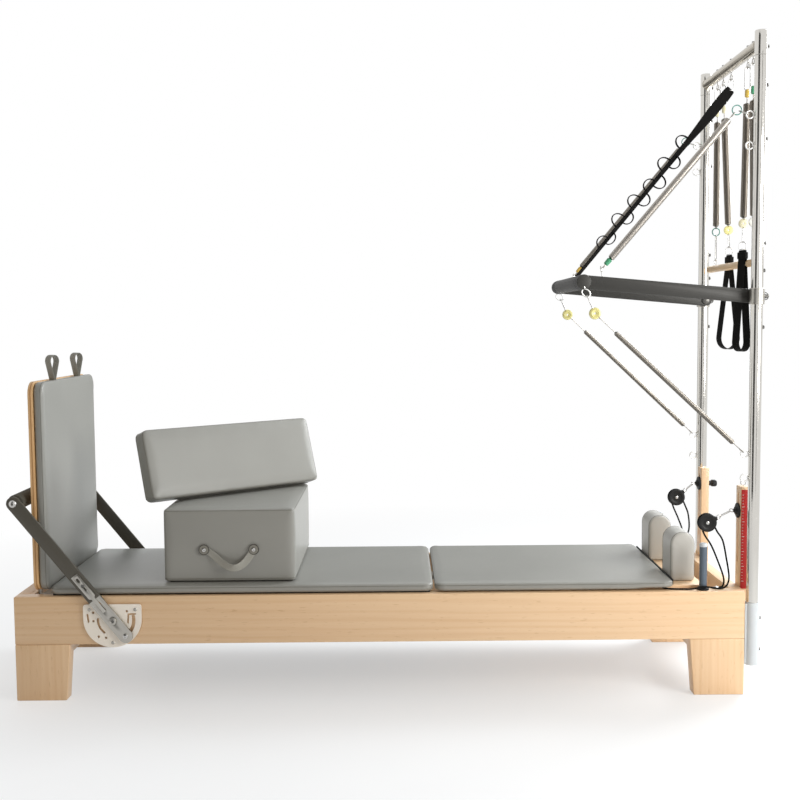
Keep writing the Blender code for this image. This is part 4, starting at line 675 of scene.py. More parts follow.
def round_path(centre, across, upward, radius, steps=24, start=0.0, sweep_deg=360.0):
    centre, across, upward = Vector(centre), Vector(across), Vector(upward)
    angles = [math.radians(start + sweep_deg * index / steps) for index in range(steps + 1)]
    return [centre + radius * (math.cos(angle) * across + math.sin(angle) * upward) for angle in angles]


def ring(centre, across, upward, radius, thick, finish, steps=28):
    return wire(round_path(centre, across, upward, radius, steps)[:-1], thick, finish, True)


def long_link(top, bottom, across, radius, thick, finish, steps=12):
    upward = (Vector(top) - Vector(bottom)).normalized()
    path = round_path(top, across, upward, radius, steps, 0, 180)
    path += round_path(bottom, across, upward, radius, steps, 180, 180)
    return wire(path, thick, finish, True)


def ribbon(path, across, width, thick, finish, rows=4, crown=0.0):
    """A flat strap: a grid laid along a path, given its thickness and rounded edges."""
    clear_selection()
    count = len(path) - 1
    bpy.ops.mesh.primitive_grid_add(x_subdivisions=count, y_subdivisions=rows, size=1.0, calc_uvs=True)
    piece = bpy.context.object
    sides = across if isinstance(across, list) else [Vector(across)] * len(path)
    widths = width if isinstance(width, list) else [width] * len(path)
    lengths = runs(path)
    places = []
    for vertex in piece.data.vertices:
        index = round((vertex.co.x + 0.5) * count)
        part = vertex.co.y
        places.append((lengths[index], part * widths[index]))
        along_path = (path[min(index + 1, count)] - path[max(index - 1, 0)]).normalized()
        square = sides[index].cross(along_path).normalized()
        bow = crown * (1 - (2 * part) ** 2)
        vertex.co = path[index] + sides[index].normalized() * (part * widths[index]) + square * bow
    uv = piece.data.uv_layers.active
    for loop in piece.data.loops:
        uv.data[loop.index].uv = places[loop.vertex_index]
    apply_modifier(piece, "SOLIDIFY", thickness=thick, offset=0.0)
    apply_modifier(piece, "SUBSURF", levels=1, render_levels=1)
    return dress(piece, finish)


def coil(start, end, radius, thick, finish, pitch, facets=12, wire_sides=6):
    """A close-wound spring body: a small circle screwed along a line."""
    length = (end - start).length
    turns = max(1, round(length / pitch))
    clear_selection()
    bpy.ops.mesh.primitive_circle_add(vertices=wire_sides, radius=thick, location=(radius, 0, 0),
                                      rotation=(QUARTER, 0, 0))
    piece = fix_place(bpy.context.object)
    apply_modifier(piece, "SCREW", steps=facets, render_steps=facets, iterations=turns,
                   screw_offset=length / turns, angle=math.tau, use_smooth_shade=True,
                   use_normal_calculate=True)
    bpy.ops.object.mode_set(mode="EDIT")
    pick(piece, lambda edge: edge.is_boundary)
    bpy.ops.mesh.edge_face_add()
    leave_edit()
    return dress(aimed(piece, end - start, start), finish)


# %% [markdown]
# The measures that many pieces share are the same numbers as in the solids.

# %% Shared measures
HALF_WIDTH, RAIL_TOP, RAIL_BOTTOM, RAIL_THICK = 0.312, 0.3475, 0.188, 0.045
HEAD = FOOT + 2.40
INNER = HALF_WIDTH - RAIL_THICK
GAP = 0.0003
SIDES = (("near", -1), ("far", 1))
POST_X, POST_Y = FOOT + 2.427, 0.298
BAR_PIVOT_Z = 1.3106
BAR_END = (POST_X - 0.555, BAR_PIVOT_Z + 0.0514)
SWING_Z = 2.0560
EYE_RING, EYE_WIRE, CLIP_RING, LINK_RING, LINK_WIRE = 0.010, 0.002, 0.009, 0.006, 0.0015
EAST, NORTH, UP = Vector((1, 0, 0)), Vector((0, 1, 0)), Vector((0, 0, 1))


def along(distance):
    """X at a distance from the foot end's face."""
    return FOOT + distance


# %% [markdown]
# Each rope leaves the deck's edge, lies on the rail past its peg, rises over the sheave and drops back
# to a clasp on the rail. It is 6 mm braid, limp enough to lie flat. It is 6 mm braid, limp enough to lie
# flat, and it is declared as a free cord.

# %% The ropes
ROPE_RADIUS = 0.003
ROPE_LIE = RAIL_TOP + ROPE_RADIUS + 0.0004
SHEAVE_WRAP = 0.0170 + ROPE_RADIUS + 0.0024
RISER_Y = 0.2275
SHEAVES = {"near": (along(2.296), -RISER_Y, 0.560), "far": (along(2.313), RISER_Y, 0.570)}
ON_RAIL = ((2.140, 0.2662, 0.0), (2.144, 0.2770, 0.0), (2.158, 0.2870, 0.0), (2.195, 0.2925, 0.0002),
           (2.222, 0.2965, 0.0006), (2.240, 0.3012, 0.0040), (2.252, 0.3040, 0.0090), (2.270, 0.3046, 0.0100),
           (2.296, 0.2990, 0.0060), (2.320, 0.2900, 0.0005), (2.340, 0.2830, 0.0020), (2.353, 0.2780, 0.0140),
           (2.358, 0.2720, 0.0400))
WRAP_ANGLES = (-12, 20, 52, 84, 116, 148, 180, 205)


def rope_knots(label, sign):
    x, y, z = SHEAVES[label]
    wide = abs(y)
    knots = [(along(far), out, ROPE_LIE + lift) for far, out, lift in ON_RAIL]
    knots += [(x + 0.0580, 0.2580, 0.4400), (x + 0.0500, 0.2400, 0.5000),
              (x + 0.0335, wide + 0.002, z - 0.0300)]
    for angle in map(math.radians, WRAP_ANGLES):
        knots.append((x + SHEAVE_WRAP * math.cos(angle), wide, z + SHEAVE_WRAP * math.sin(angle)))
    knots += [(x - 0.0080, wide + 0.003, z - 0.0420), (x + 0.0120, wide + 0.010, 0.4850),
              (x + 0.0310, 0.2500, 0.4350), (along(2.3430), 0.2625, 0.3820),
              (along(2.3380), 0.2715, ROPE_LIE + 0.0040), (along(2.3180), 0.2765, ROPE_LIE + 0.0002)]
    return [(px, sign * py, pz) for px, py, pz in knots]


for label, sign in SIDES:
    path, length = smooth_path(rope_knots(label, sign), 0.006)
    rope = wire(path, ROPE_RADIUS, rope_braid, sides=4)
    for place in rope.data.uv_layers.active.data:
        place.uv = (place.uv[0] * length, place.uv[1] * math.tau * ROPE_RADIUS)
    hand_over(rope, f"rope_{label}", "frame", [f"carriage_rope_{label}"])
    end, before = path[-1], path[-3]
    clasp = solid([(0.0036, -0.004), (0.0046, 0.000), (0.0046, 0.012), (0.0030, 0.016)], end, end - before,
                  bright_wire, 20)
    hook = ring(end + (end - before).normalized() * 0.0185, EAST, NORTH, 0.0042, 0.0009, bright_wire, 16)
    clasp = hand_over([clasp, hook], f"rope_clasp_{label}", "frame")
    print(f"rope {label}: {length:.3f} m")

# %% [markdown]
# The rails, end boards and legs are lacquered maple with their edges eased by hand.
# Boards are boxes whose twelve edges are bevelled, and the legs are cut to their tapered outline first.

# %% Rails and end boards
TRACK_TOP, TRACK_THICK, TRACK_SPAN = 0.262, 0.004, (0.075, 2.355)
for label, sign in SIDES:
    rail = board((FOOT, sign * INNER, RAIL_BOTTOM), (HEAD, sign * HALF_WIDTH, RAIL_TOP), 0.003, maple_along)
    hand_over(rail, f"rail_{label}", "frame", [f"side_rail_{label}"])
    wall, lip = INNER - 0.0002, INNER - 0.030
    outline = [(wall, TRACK_TOP - TRACK_THICK), (wall, TRACK_TOP + 0.022), (wall - 0.003, TRACK_TOP + 0.022),
               (wall - 0.003, TRACK_TOP), (lip, TRACK_TOP), (lip, TRACK_TOP - TRACK_THICK)]
    track = slab([(along(TRACK_SPAN[0]), sign * y, z) for y, z in outline],
                 (TRACK_SPAN[1] - TRACK_SPAN[0], 0, 0), brushed, 0.0006, 1)
    hand_over(track, f"wheel_track_{label}", "frame")
reach = INNER - GAP
foot_board = board((FOOT, -reach, RAIL_BOTTOM), (along(0.040), reach, RAIL_TOP), 0.002, maple_across)
ledge = board((along(0.030), -reach, RAIL_TOP - 0.021), (along(0.055), reach, RAIL_TOP - 0.001), 0.002,
              maple_across)
hand_over([foot_board, ledge], "foot_board", "frame", ["foot_end_board"])
head_board = board((HEAD - 0.040, -reach, RAIL_BOTTOM), (HEAD, reach, RAIL_TOP), 0.002, maple_across)
hand_over(head_board, "head_board", "frame", ["head_end_board"])

# %% Leg frames
LEG_TOP, LEG_FOOT, LEG_DEPTH, TIE_AT = 0.180, 0.165, 0.050, (0.155, 0.125)
for label, face, inward in (("foot", FOOT, 1), ("head", HEAD, -1)):
    blocks = []
    for _, sign in SIDES:
        y = sign * HALF_WIDTH
        outline = [(face, y, 0.0), (face, y, RAIL_BOTTOM - GAP),
                   (face + inward * LEG_TOP, y, RAIL_BOTTOM - GAP),
                   (face + inward * LEG_FOOT, y, 0.0)]
        blocks.append(slab(outline, (0, -sign * LEG_DEPTH, 0), maple_upright, 0.003, 3))
    tie = board((face + inward * TIE_AT[0], -0.268, 0.130),
                (face + inward * TIE_AT[1], 0.268, RAIL_BOTTOM - 0.004), 0.002, maple_across)
    hand_over(blocks + [tie], f"{label}_legs", "frame", [f"{label}_leg_frame"])
print("bed frame ready")

# %% [markdown]
# The tower is polished steel tube. Its posts stand in painted sockets on the head board, the cross tube
# sits on two sleeves, and every eye bolt comes through with its nut showing on the other side.


# %% Tower posts and sockets
def bolts(places, axis, radius, height, washer=0.0):
    """Hex heads with their corners turned off, each on its washer."""
    made = []
    for place in places:
        if washer:
            made.append(rod(washer, 0.0, 0.0012, place, axis, bolt_steel, 24))
        made.append(solid([(radius, 0.001), (radius, height * 0.85), (radius * 0.86, height)], place, axis,
                          bolt_steel, 6))
    return made


def eye_bolt(foot, centre, upward, finish, radius=EYE_RING, thick=EYE_WIRE):
    """A bent eye on its shank."""
    foot, centre = Vector(foot), Vector(centre)
    across = (foot - centre).normalized()
    path = [foot, foot.lerp(centre + across * radius, 0.5)]
    return wire(path + round_path(centre, across, upward, radius, 26, 0, 330), thick, finish)


EYE_Z = SWING_Z + 0.010 + 0.009 - 0.004 - 0.0009
EYE_X = POST_X - 0.0323
UPPER_POST_EYE, LOWER_POST_EYE = 1.887, 0.800
BOLT_HEIGHTS = (1.979, 1.811, 1.480, 1.393, 1.211)
for label, sign in SIDES:
    y = sign * POST_Y
    at_pivot = (POST_X, y, BAR_PIVOT_Z)
    parts = [solid([(0.0185, 0.1083), (0.0192, 0.1090), (0.0192, 2.0710), (0.0185, 2.0717)],
                   (POST_X, y, 0), UP, polished, 48)]
    for z in (UPPER_POST_EYE, LOWER_POST_EYE, 1.790, 0.720):
        parts += [eye_bolt((POST_X - 0.017, y, z), (EYE_X, y, z), UP, white_steel, 0.0118, 0.0024),
                  solid([(0.0055, 0.0), (0.0055, 0.0024), (0.0035, 0.0030)], (POST_X - 0.0190, y, z), -EAST,
                        bright_wire, 20)]
    parts += bolts([(POST_X + 0.0188, y, z) for z in BOLT_HEIGHTS], EAST, 0.0062, 0.006, 0.0078)
    hand_over(parts, f"tower_tube_{label}", "frame", [f"tower_post_{label}"])
    collar = solid([(0.0225, -0.026), (0.0242, -0.0245), (0.0242, 0.0245), (0.0225, 0.026)], at_pivot, UP,
                   brushed, 40)
    stud = solid([(0.014, 0.0), (0.014, 0.0050), (0.010, 0.0050), (0.010, 0.0138), (0.015, 0.0138),
                  (0.015, 0.0172), (0.0138, 0.0180), (0.010, 0.0205)],
                 (POST_X, sign * (POST_Y - 0.0202), BAR_PIVOT_Z), (0, -sign, 0), bolt_steel, 32)
    pin = solid([(0.0075, 0.0), (0.0075, 0.010), (0.0055, 0.011), (0.0055, 0.0168)],
                (POST_X + 0.0192, y, BAR_PIVOT_Z), EAST, bolt_steel, 24)
    pull = ring((POST_X + 0.0260, y, BAR_PIVOT_Z), EAST, UP, 0.0115, 0.0016, bolt_steel)
    hand_over([collar, stud, pin, pull], f"bar_pivot_{label}", "frame")
    socket = lathe([(0.0, 0.100), (0.0235, 0.100), (0.0245, 0.101), (0.0245, 0.307), (0.0237, 0.308),
                    (0.0202, 0.308), (0.0197, 0.307), (0.0197, 0.108), (0.0, 0.108)], (POST_X, y, 0), UP,
                   socket_paint, 48)
    plate = board((HEAD + GAP, y - 0.0137, 0.104), (HEAD + 0.012, y + 0.0137, 0.304), 0.001, socket_paint, 2)
    socket_bolts = bolts([(POST_X + 0.0240, y, z) for z in (0.150, 0.255)], EAST, 0.0055, 0.005, 0.007)
    hand_over([socket, plate] + socket_bolts, f"post_socket_{label}", "frame",
              [f"tower_socket_{label}"])

# %% The cross tube
TOP_TUBE_Z = 2.110
# The cross tube and its rings take the darker steel, whose brown is painted reflection.
parts = [rod(0.0185, -POST_Y + 0.012, POST_Y - 0.012, (POST_X, 0, TOP_TUBE_Z), NORTH, cross_tube_painted_reflection, 48)]
for label, sign in SIDES:
    parts += [solid([(0.0194, 0.0), (0.0200, 0.0008), (0.0200, 0.0755), (0.0192, 0.0772), (0.0175, 0.0780)],
                    (POST_X, sign * POST_Y, 2.072), UP, polished, 48),
              ring((POST_X, sign * (POST_Y - 0.0192), TOP_TUBE_Z), EAST, UP, 0.0186, 0.0010, cross_tube_painted_reflection)]
    parts += bolts([(POST_X + 0.0195, sign * POST_Y, 2.099)], EAST, 0.0062, 0.006, 0.0078)
for y in (-0.227, -0.175, 0.0, 0.088, 0.153):
    parts.append(eye_bolt((POST_X, y, TOP_TUBE_Z - 0.0150), (POST_X, y, EYE_Z), NORTH, bright_wire))
    parts += bolts([(POST_X, y, TOP_TUBE_Z + 0.0180)], UP, 0.0058, 0.0055)
hand_over(parts, "cross_tube", "frame", ["tower_top_tube"])
print("tower ready")

# %% [markdown]
# The risers are slotted maple boards on the head end. A black clamp with a hand knob sets each pulley's
# height, and the near riser carries a plain red scale with ticks.

# %% Risers and scale
RISER = (HEAD + GAP, HEAD + 0.030)
for label, sign in SIDES:
    y = sign * RISER_Y
    riser = board((RISER[0], y - 0.0245, 0.205), (RISER[1], y + 0.0245, 0.682), 0.003, maple_upright)
    cut(riser, [board((RISER[0] - 0.01, y - 0.005, 0.425), (RISER[1] + 0.01, y + 0.005, 0.662), 0.0045,
                      maple_upright, 4)])
    riser_bolts = bolts([(RISER[1] - 0.0005, y, z) for z in (0.232, 0.310)], EAST, 0.0085, 0.006, 0.0115)
    hand_over([riser] + riser_bolts, f"riser_board_{label}", "frame", [f"riser_{label}"])
parts = [board((RISER[0] + 0.0020, -RISER_Y - 0.0252, 0.340), (RISER[0] + 0.0235, -RISER_Y - 0.0243, 0.673),
               0.0002, red_plastic, 1)]
for number in range(30):
    z = 0.365 + number * 0.010
    reach, tall = (0.0045, 0.0011) if number % 5 else (0.0075, 0.0016)
    parts.append(board((RISER[0] + 0.0050, -RISER_Y - 0.02535, z),
                       (RISER[0] + 0.0050 + reach, -RISER_Y - 0.0251, z + tall), 0.00004, white_plastic, 1))
hand_over(parts, "height_scale", "frame")
riser_eye = eye_bolt((RISER[0] + 0.015, -RISER_Y, 0.679), (RISER[0] + 0.015, -RISER_Y, 0.6935), EAST,
                     bright_wire, 0.0085, 0.0012)
hand_over(riser_eye, "riser_eye", "frame")

# %% [markdown]
# Each pulley is a grooved sheave between two black cheeks. A steel bow and two links tie the cheeks to
# the clamp disc, and the block hangs at its own angle under the rope's weight.

# %% Pulleys
CLAMP_Z = {"near": 0.600, "far": 0.622}
CHEEK_GAP, CHEEK_THICK = 0.0066, 0.002
CHEEK = [(0.0305, 0.0), (0.031, 0.0005), (0.031, 0.0013), (0.0295, 0.0020), (0.0200, 0.0020),
         (0.0190, 0.0014), (0.0120, 0.0014), (0.0110, 0.0022), (0.0065, 0.0022)]
CLAMP = [(0.0245, 0.0), (0.0250, 0.0006), (0.0250, 0.0042), (0.0238, 0.0052), (0.0150, 0.0068),
         (0.0120, 0.0115), (0.0070, 0.0135), (0.0055, 0.0165)]
HALF_GROOVE = [(0.0043, -0.0058), (0.0088, -0.0058), (0.0095, -0.0045), (0.0150, -0.0045), (0.0165, -0.0060),
               (0.0230, -0.0060), (0.0235, -0.0055), (0.0222, -0.0042), (0.0180, -0.0026)]
GROOVE = HALF_GROOVE + [(0.0170, 0.0)] + [(radius, -far) for radius, far in reversed(HALF_GROOVE)]
KNOB = [(0.0085, 0.0), (0.0090, 0.0006), (0.0095, 0.0125), (0.0128, 0.0150), (0.0135, 0.0165),
        (0.0135, 0.0285), (0.0122, 0.0315), (0.010, 0.0335), (0.004, 0.0340)]
KNOB_LOBES, LOBE_DEPTH, LOBE_START = 6, 0.0011, 0.0115
for label, sign in SIDES:
    centre = Vector(SHEAVES[label])
    eye = Vector((RISER[0] - 0.0223, centre.y, CLAMP_Z[label]))
    ahead_of = (eye - centre).normalized()
    normal = ahead_of.cross(NORTH)
    parts = []
    for step in (-1, 1):
        inner = centre + NORTH * (step * CHEEK_GAP)
        parts += [solid(CHEEK, inner, NORTH * step, black_plastic, 48),
                  solid([(0.0056, 0.0018), (0.0056, 0.0036), (0.0040, 0.0044)], inner, NORTH * step,
                        bright_wire, 20)]
    parts.append(rod(0.0036, -CHEEK_GAP, CHEEK_GAP, centre, NORTH, bright_wire, 20))
    depth = CHEEK_GAP + CHEEK_THICK
    low = centre + ahead_of * 0.0265 - NORTH * depth
    tip = low + ahead_of * 0.0105
    outline = [low + normal * 0.0095, low - normal * 0.0095, tip - normal * 0.0040, tip + normal * 0.0040]
    parts.append(slab(outline, NORTH * (2 * depth), black_plastic, 0.0012, 2))
    bow_ring = centre + ahead_of * 0.0430
    hitch = ahead_of * 0.0105
    parts += [ring(bow_ring, ahead_of, normal, LINK_RING, LINK_WIRE, bright_wire, 24),
              long_link(eye - hitch, bow_ring + hitch, NORTH, LINK_RING, LINK_WIRE, bright_wire),
              ring(eye, EAST, normal, LINK_RING, LINK_WIRE, bright_wire, 24),
              solid(CLAMP, (RISER[0] - GAP, centre.y, eye.z), -EAST, black_plastic, 44)]
    hand_over(parts, f"pulley_{label}", "frame", [f"pulley_block_{label}"])
    sheave = bored(GROOVE, centre, NORTH, brushed, 48)
    hand_over(sheave, f"sheave_{label}", f"sheave_{label}", [f"pulley_sheave_{label}"])
    seat = RISER[1] + GAP
    knob = solid(KNOB, (seat, centre.y, eye.z), EAST, black_plastic, 60)
    for vertex in knob.data.vertices:
        out = Vector((0, vertex.co.y - centre.y, vertex.co.z - eye.z))
        if out.length > LOBE_START:
            lobes = math.cos(KNOB_LOBES * math.atan2(out.z, out.y))
            vertex.co -= out.normalized() * (LOBE_DEPTH * (1 - lobes) / 2)
    screw = solid([(0.0038, 0.0), (0.0040, 0.0004), (0.0040, seat - RISER[0])],
                  (RISER[0] + 0.0005, centre.y, eye.z), EAST, bolt_steel, 20)
    hand_over([knob, screw], f"clamp_knob_{label}", f"knob_{label}", [f"riser_knob_{label}"])

# %% Rope pegs
PEG_FOOT = [(0.0190, 0.0), (0.0195, 0.0006), (0.0195, 0.0052), (0.0185, 0.0062), (0.0150, 0.0080),
            (0.0129, 0.0110)]
PEG_CAP = [(0.0129, 0.1436), (0.0131, 0.1442), (0.0131, 0.1500), (0.0120, 0.1535), (0.0105, 0.1550),
           (0.0080, 0.1560)]
for label, sign in SIDES:
    foot = (along(2.268), sign * 0.287, RAIL_TOP + GAP)
    parts = [rod(0.0125, 0.0100, 0.1440, foot, UP, peg_paint, 40),
             solid(PEG_FOOT, foot, UP, black_plastic, 40), solid(PEG_CAP, foot, UP, socket_paint, 40)]
    hand_over(parts, f"peg_{label}", "frame", [f"rope_peg_{label}"])
print("frame pieces ready")

# %% [markdown]
# The footbar swings on a pivot at each rail, and a cream plate on spacers holds it at one of its angles.
# The plate is cut from sheet, so it is one outline with its slots and holes taken out by Booleans.

# %% Gear plates
PIVOT = (along(0.329), 0.271)
PLATE_AT = (along(0.3245), 0.2755)
PLATE_RADIUS, PLATE_TOP, PLATE_CORNER = 0.0955, 0.3235, 0.009
PLATE_DEPTH = (0.3160, 0.3200)
CUT_PAST = 0.003


def arc_points(centre, radius, start, end, steps):
    angles = [math.radians(start + (end - start) * step / steps) for step in range(steps + 1)]
    return [(centre[0] + radius * math.cos(angle), centre[1] + radius * math.sin(angle)) for angle in angles]


def bar_outline(start, end, half, steps=10):
    """A straight slot or bar with round ends, in X and Z."""
    heading = math.degrees(math.atan2(end[1] - start[1], end[0] - start[0]))
    return (arc_points(end, half, heading - 90, heading + 90, steps)
            + arc_points(start, half, heading + 90, heading + 270, steps))


def curved_outline(radius, start, end, half, steps=16):
    first, last = (arc_points(PIVOT, radius, angle, angle, 1)[0] for angle in (start, end))
    return (arc_points(PIVOT, radius + half, start, end, steps)
            + arc_points(last, half, end, end + 180, 6)[1:-1]
            + arc_points(PIVOT, radius - half, end, start, steps)
            + arc_points(first, half, start + 180, start + 360, 6)[1:-1])


def sheet_plate(outline, depth, sign, finish, extra=0.0):
    """An outline in X and Z, drawn out across the machine between two distances from the middle."""
    near_face = sign * (depth[0] - extra)
    across = sign * (depth[1] - depth[0] + 2 * extra)
    return slab([(x, near_face, z) for x, z in outline], (0, across, 0), finish)


def hole_tool(radius, x, z, sign, depth, finish, length=0.010, steps=32):
    """A pin that cuts a round hole across the machine."""
    return rod(radius, -length, length, (x, sign * depth, z), NORTH, finish, steps)


corner_z = PLATE_TOP - PLATE_CORNER
plate_outline = arc_points((PLATE_AT[0] + PLATE_RADIUS - PLATE_CORNER, corner_z), PLATE_CORNER, 0, 90, 5)
plate_outline += arc_points((PLATE_AT[0] - PLATE_RADIUS + PLATE_CORNER, corner_z), PLATE_CORNER, 90, 180, 5)
plate_outline += arc_points(PLATE_AT, PLATE_RADIUS, 180, 360, 40)
PLATE_HOLES = ((0.262, 0.296), (0.262, 0.268), (0.278, 0.216), (0.372, 0.300), (0.302, 0.212))
PLATE_BARS = (((0.399, 0.291), (0.377, 0.290), 0.0030), ((0.377, 0.290), (0.375, 0.262), 0.0030),
              ((0.243, 0.289), (0.246, 0.266), 0.0034))
plate_slots = [curved_outline(0.065, -57, 10, 0.0060), curved_outline(0.052, 176, 232, 0.0038)]
for start, end, half in PLATE_BARS:
    plate_slots.append(bar_outline((along(start[0]), start[1]), (along(end[0]), end[1]), half, 6))
BOSS = [(0.0, 0.0), (0.014, 0.0), (0.014, 0.0042), (0.008, 0.0042), (0.008, 0.0205), (0.0125, 0.0205),
        (0.0132, 0.0212), (0.0132, 0.0232), (0.0120, 0.0252), (0.0062, 0.0262), (0.0058, 0.0258),
        (0.0056, 0.0222), (0.0, 0.0222)]
PLATE_SCREW = [(0.0, 0.0076), (0.0058, 0.0076), (0.0060, 0.0090), (0.0045, 0.0104), (0.0026, 0.0108),
               (0.0024, 0.0094), (0.0, 0.0094)]
for label, sign in SIDES:
    plate = sheet_plate(plate_outline, PLATE_DEPTH, sign, plate_paint)
    tools = [sheet_plate(outline, PLATE_DEPTH, sign, plate_paint, CUT_PAST) for outline in plate_slots]
    tools += [hole_tool(0.0042, along(x), z, sign, 0.318, plate_paint, 0.006, 20) for x, z in PLATE_HOLES]
    cut(plate, tools)
    ease_edges(plate, 0.0004, 1)
    outward = (0, sign, 0)
    start = sign * (HALF_WIDTH + GAP)
    parts = [plate, lathe(BOSS, (PIVOT[0], start, PIVOT[1]), outward, brushed, 36),
             rod(0.0054, 0.0, 0.0006, (PIVOT[0], start + sign * 0.0222, PIVOT[1]), outward, bolt_steel, 6)]
    for x, z in ((0.250, 0.306), (0.400, 0.306), (0.3245, 0.196)):
        spot = (along(x), start, z)
        parts += [rod(0.0062, 0.0, 0.0042, spot, outward, bolt_steel, 24),
                  lathe(PLATE_SCREW, spot, outward, brushed, 24)]
    hand_over(parts, f"gear_plate_{label}_sheet", "frame", [f"gear_plate_{label}"])

# %% [markdown]
# The arms are flat bars with rounded ends in olive paint. A brushed slide on each arm latches the bar,
# and the grip is a foam sleeve pushed over a steel tube.

# %% The footbar
GRIP = (along(0.017), 0.660)
ARM = (0.3245, 0.3325)
ARM_TAIL, ARM_TIP, ARM_HALF, BARE_STEEL = -0.065, 0.499, 0.0225, 0.092
arm_heading = Vector((GRIP[0] - PIVOT[0], GRIP[1] - PIVOT[1])).normalized()
arm_square = Vector((-arm_heading.y, arm_heading.x))
TAIL_BOLT = [(0.0, 0.0002), (0.0085, 0.0002), (0.0090, 0.0018), (0.0082, 0.0042), (0.0055, 0.0054),
             (0.0030, 0.0056), (0.0028, 0.0038), (0.0, 0.0038)]
END_BOLT = [(0.0, -0.001), (0.0130, -0.001), (0.0130, 0.0030), (0.0120, 0.0052), (0.0095, 0.0080),
            (0.0045, 0.0095), (0.0040, 0.0070), (0.0, 0.0070)]
LATCH_SCREW = [(0.0, -0.001), (0.0026, -0.001), (0.0026, 0.0036), (0.0050, 0.0036), (0.0052, 0.0050),
               (0.0036, 0.0060), (0.0018, 0.0058), (0.0016, 0.0048), (0.0, 0.0048)]
LATCH = ((0.040, -0.006), (0.098, -0.006), (0.104, -0.0125), (0.194, -0.0125), (0.194, 0.0125),
         (0.104, 0.0125), (0.098, 0.006), (0.040, 0.006))
LATCH_DEPTH = (ARM[1] + GAP, ARM[1] + 0.0030)


def on_arm(distance, offset=0.0):
    return tuple(Vector(PIVOT) + arm_heading * distance + arm_square * offset)


def arm_slot(start, end, half, steps, depth, sign, finish):
    return sheet_plate(bar_outline(on_arm(start), on_arm(end), half, steps), depth, sign, finish, CUT_PAST)


for label, sign in SIDES:
    arm = sheet_plate(bar_outline(on_arm(ARM_TAIL), on_arm(ARM_TIP), ARM_HALF, 16), ARM, sign, olive_paint)
    cut(arm, [arm_slot(0.048, 0.074, 0.0080, 8, ARM, sign, olive_paint),
              hole_tool(0.0086, PIVOT[0], PIVOT[1], sign, 0.3285, olive_paint)])
    take(ease_edges(arm, 0.0012))
    bpy.ops.object.mode_set(mode="EDIT")
    bpy.ops.mesh.select_all(action="SELECT")
    step = on_arm(BARE_STEEL)
    bpy.ops.mesh.bisect(plane_co=(step[0], 0, step[1]), plane_no=(arm_heading.x, 0, arm_heading.y))
    bpy.ops.object.mode_set(mode="OBJECT")
    arm.data.materials.append(brushed)
    for face in arm.data.polygons:
        if (Vector((face.center.x, face.center.z)) - Vector(PIVOT)).dot(arm_heading) < BARE_STEEL:
            face.material_index = 1
    tail, screw = on_arm(ARM_TAIL), on_arm(0.150)
    outward, outer = (0, sign, 0), sign * ARM[1]
    parts = [arm,
             rod(0.0050, 0.0, 0.0190, (tail[0], sign * (HALF_WIDTH + 0.0015), tail[1]), outward, brushed, 24),
             lathe(TAIL_BOLT, (tail[0], outer, tail[1]), outward, bright_wire, 28),
             lathe(END_BOLT, (GRIP[0], outer, GRIP[1]), outward, bright_wire, 36),
             lathe(LATCH_SCREW, (screw[0], outer, screw[1]), outward, bolt_steel, 20)]
    hand_over(parts, f"footbar_bar_{label}", "footbar", [f"footbar_arm_{label}"])
    latch = sheet_plate([on_arm(*corner) for corner in LATCH], LATCH_DEPTH, sign, brushed)
    cut(latch, [arm_slot(0.134, 0.154, 0.0032, 6, LATCH_DEPTH, sign, brushed),
                arm_slot(0.1705, 0.1775, 0.0045, 6, LATCH_DEPTH, sign, brushed)])
    ease_edges(latch, 0.0005, 2, 28)
    hand_over(latch, f"latch_{label}_slide", f"latch_{label}", [f"footbar_latch_{label}"])
reach = ARM[0] - GAP
sleeve_half = [(0.0190, -reach), (0.0190, -reach + 0.012), (0.0250, -reach + 0.0125),
               (0.0260, -reach + 0.0145)]
grip = solid(sleeve_half + [(radius, -y) for radius, y in reversed(sleeve_half)],
             (GRIP[0], 0, GRIP[1]), NORTH, foam_rubber, 56)
hand_over(grip, "foam_sleeve", "footbar", ["footbar_grip"])

# %% [markdown]
# The carriage is a plywood deck on four wheels that run in the rails' aluminium tracks.
# Five springs with coloured collars hang below it, and each is wound close, coil against coil.

# %% The carriage
AXLE_Z, WHEEL_Y = 0.2863, 0.2505
HUB_RIVETS, RIVET_AT, RIVET = 3, 0.0086, 0.0011
WHEEL_ENDS = (("foot", along(1.50)), ("head", along(2.15)))
TYRE = [(0.0165, -0.0085), (0.0225, -0.0088), (0.0238, -0.0072), (0.0240, 0.0), (0.0238, 0.0072),
        (0.0225, 0.0088), (0.0165, 0.0085)]
HALF_HUB = [(0.0064, -0.0088), (0.0110, -0.0088), (0.0118, -0.0060), (0.0150, -0.0050), (0.0166, -0.0080)]
HUB = HALF_HUB + [(radius, -far) for radius, far in reversed(HALF_HUB)]
DECK_HALF, DECK_TOP = 0.262, 0.3577
parts = [board((along(1.400), -DECK_HALF, 0.336), (along(2.280), DECK_HALF, DECK_TOP), 0.003, maple_across)]
for end, x in WHEEL_ENDS:
    for sign in (-1, 1):
        face = sign * (WHEEL_Y - 0.0098)
        outline = [(x - 0.022, 0.3356), (x - 0.022, 0.325)] + arc_points((x, AXLE_Z), 0.011, 180, 360, 8)
        outline += [(x + 0.022, 0.325), (x + 0.022, 0.3356)]
        parts += [slab([(px, face, pz) for px, pz in outline], (0, -sign * 0.006, 0), brushed, 0.0006),
                  solid([(0.0055, -0.006), (0.0055, 0.0160), (0.0048, 0.0168)], (x, face, AXLE_Z),
                        (0, sign, 0), bolt_steel, 20)]
hand_over(parts, "carriage_board", "carriage", ["carriage_deck"])
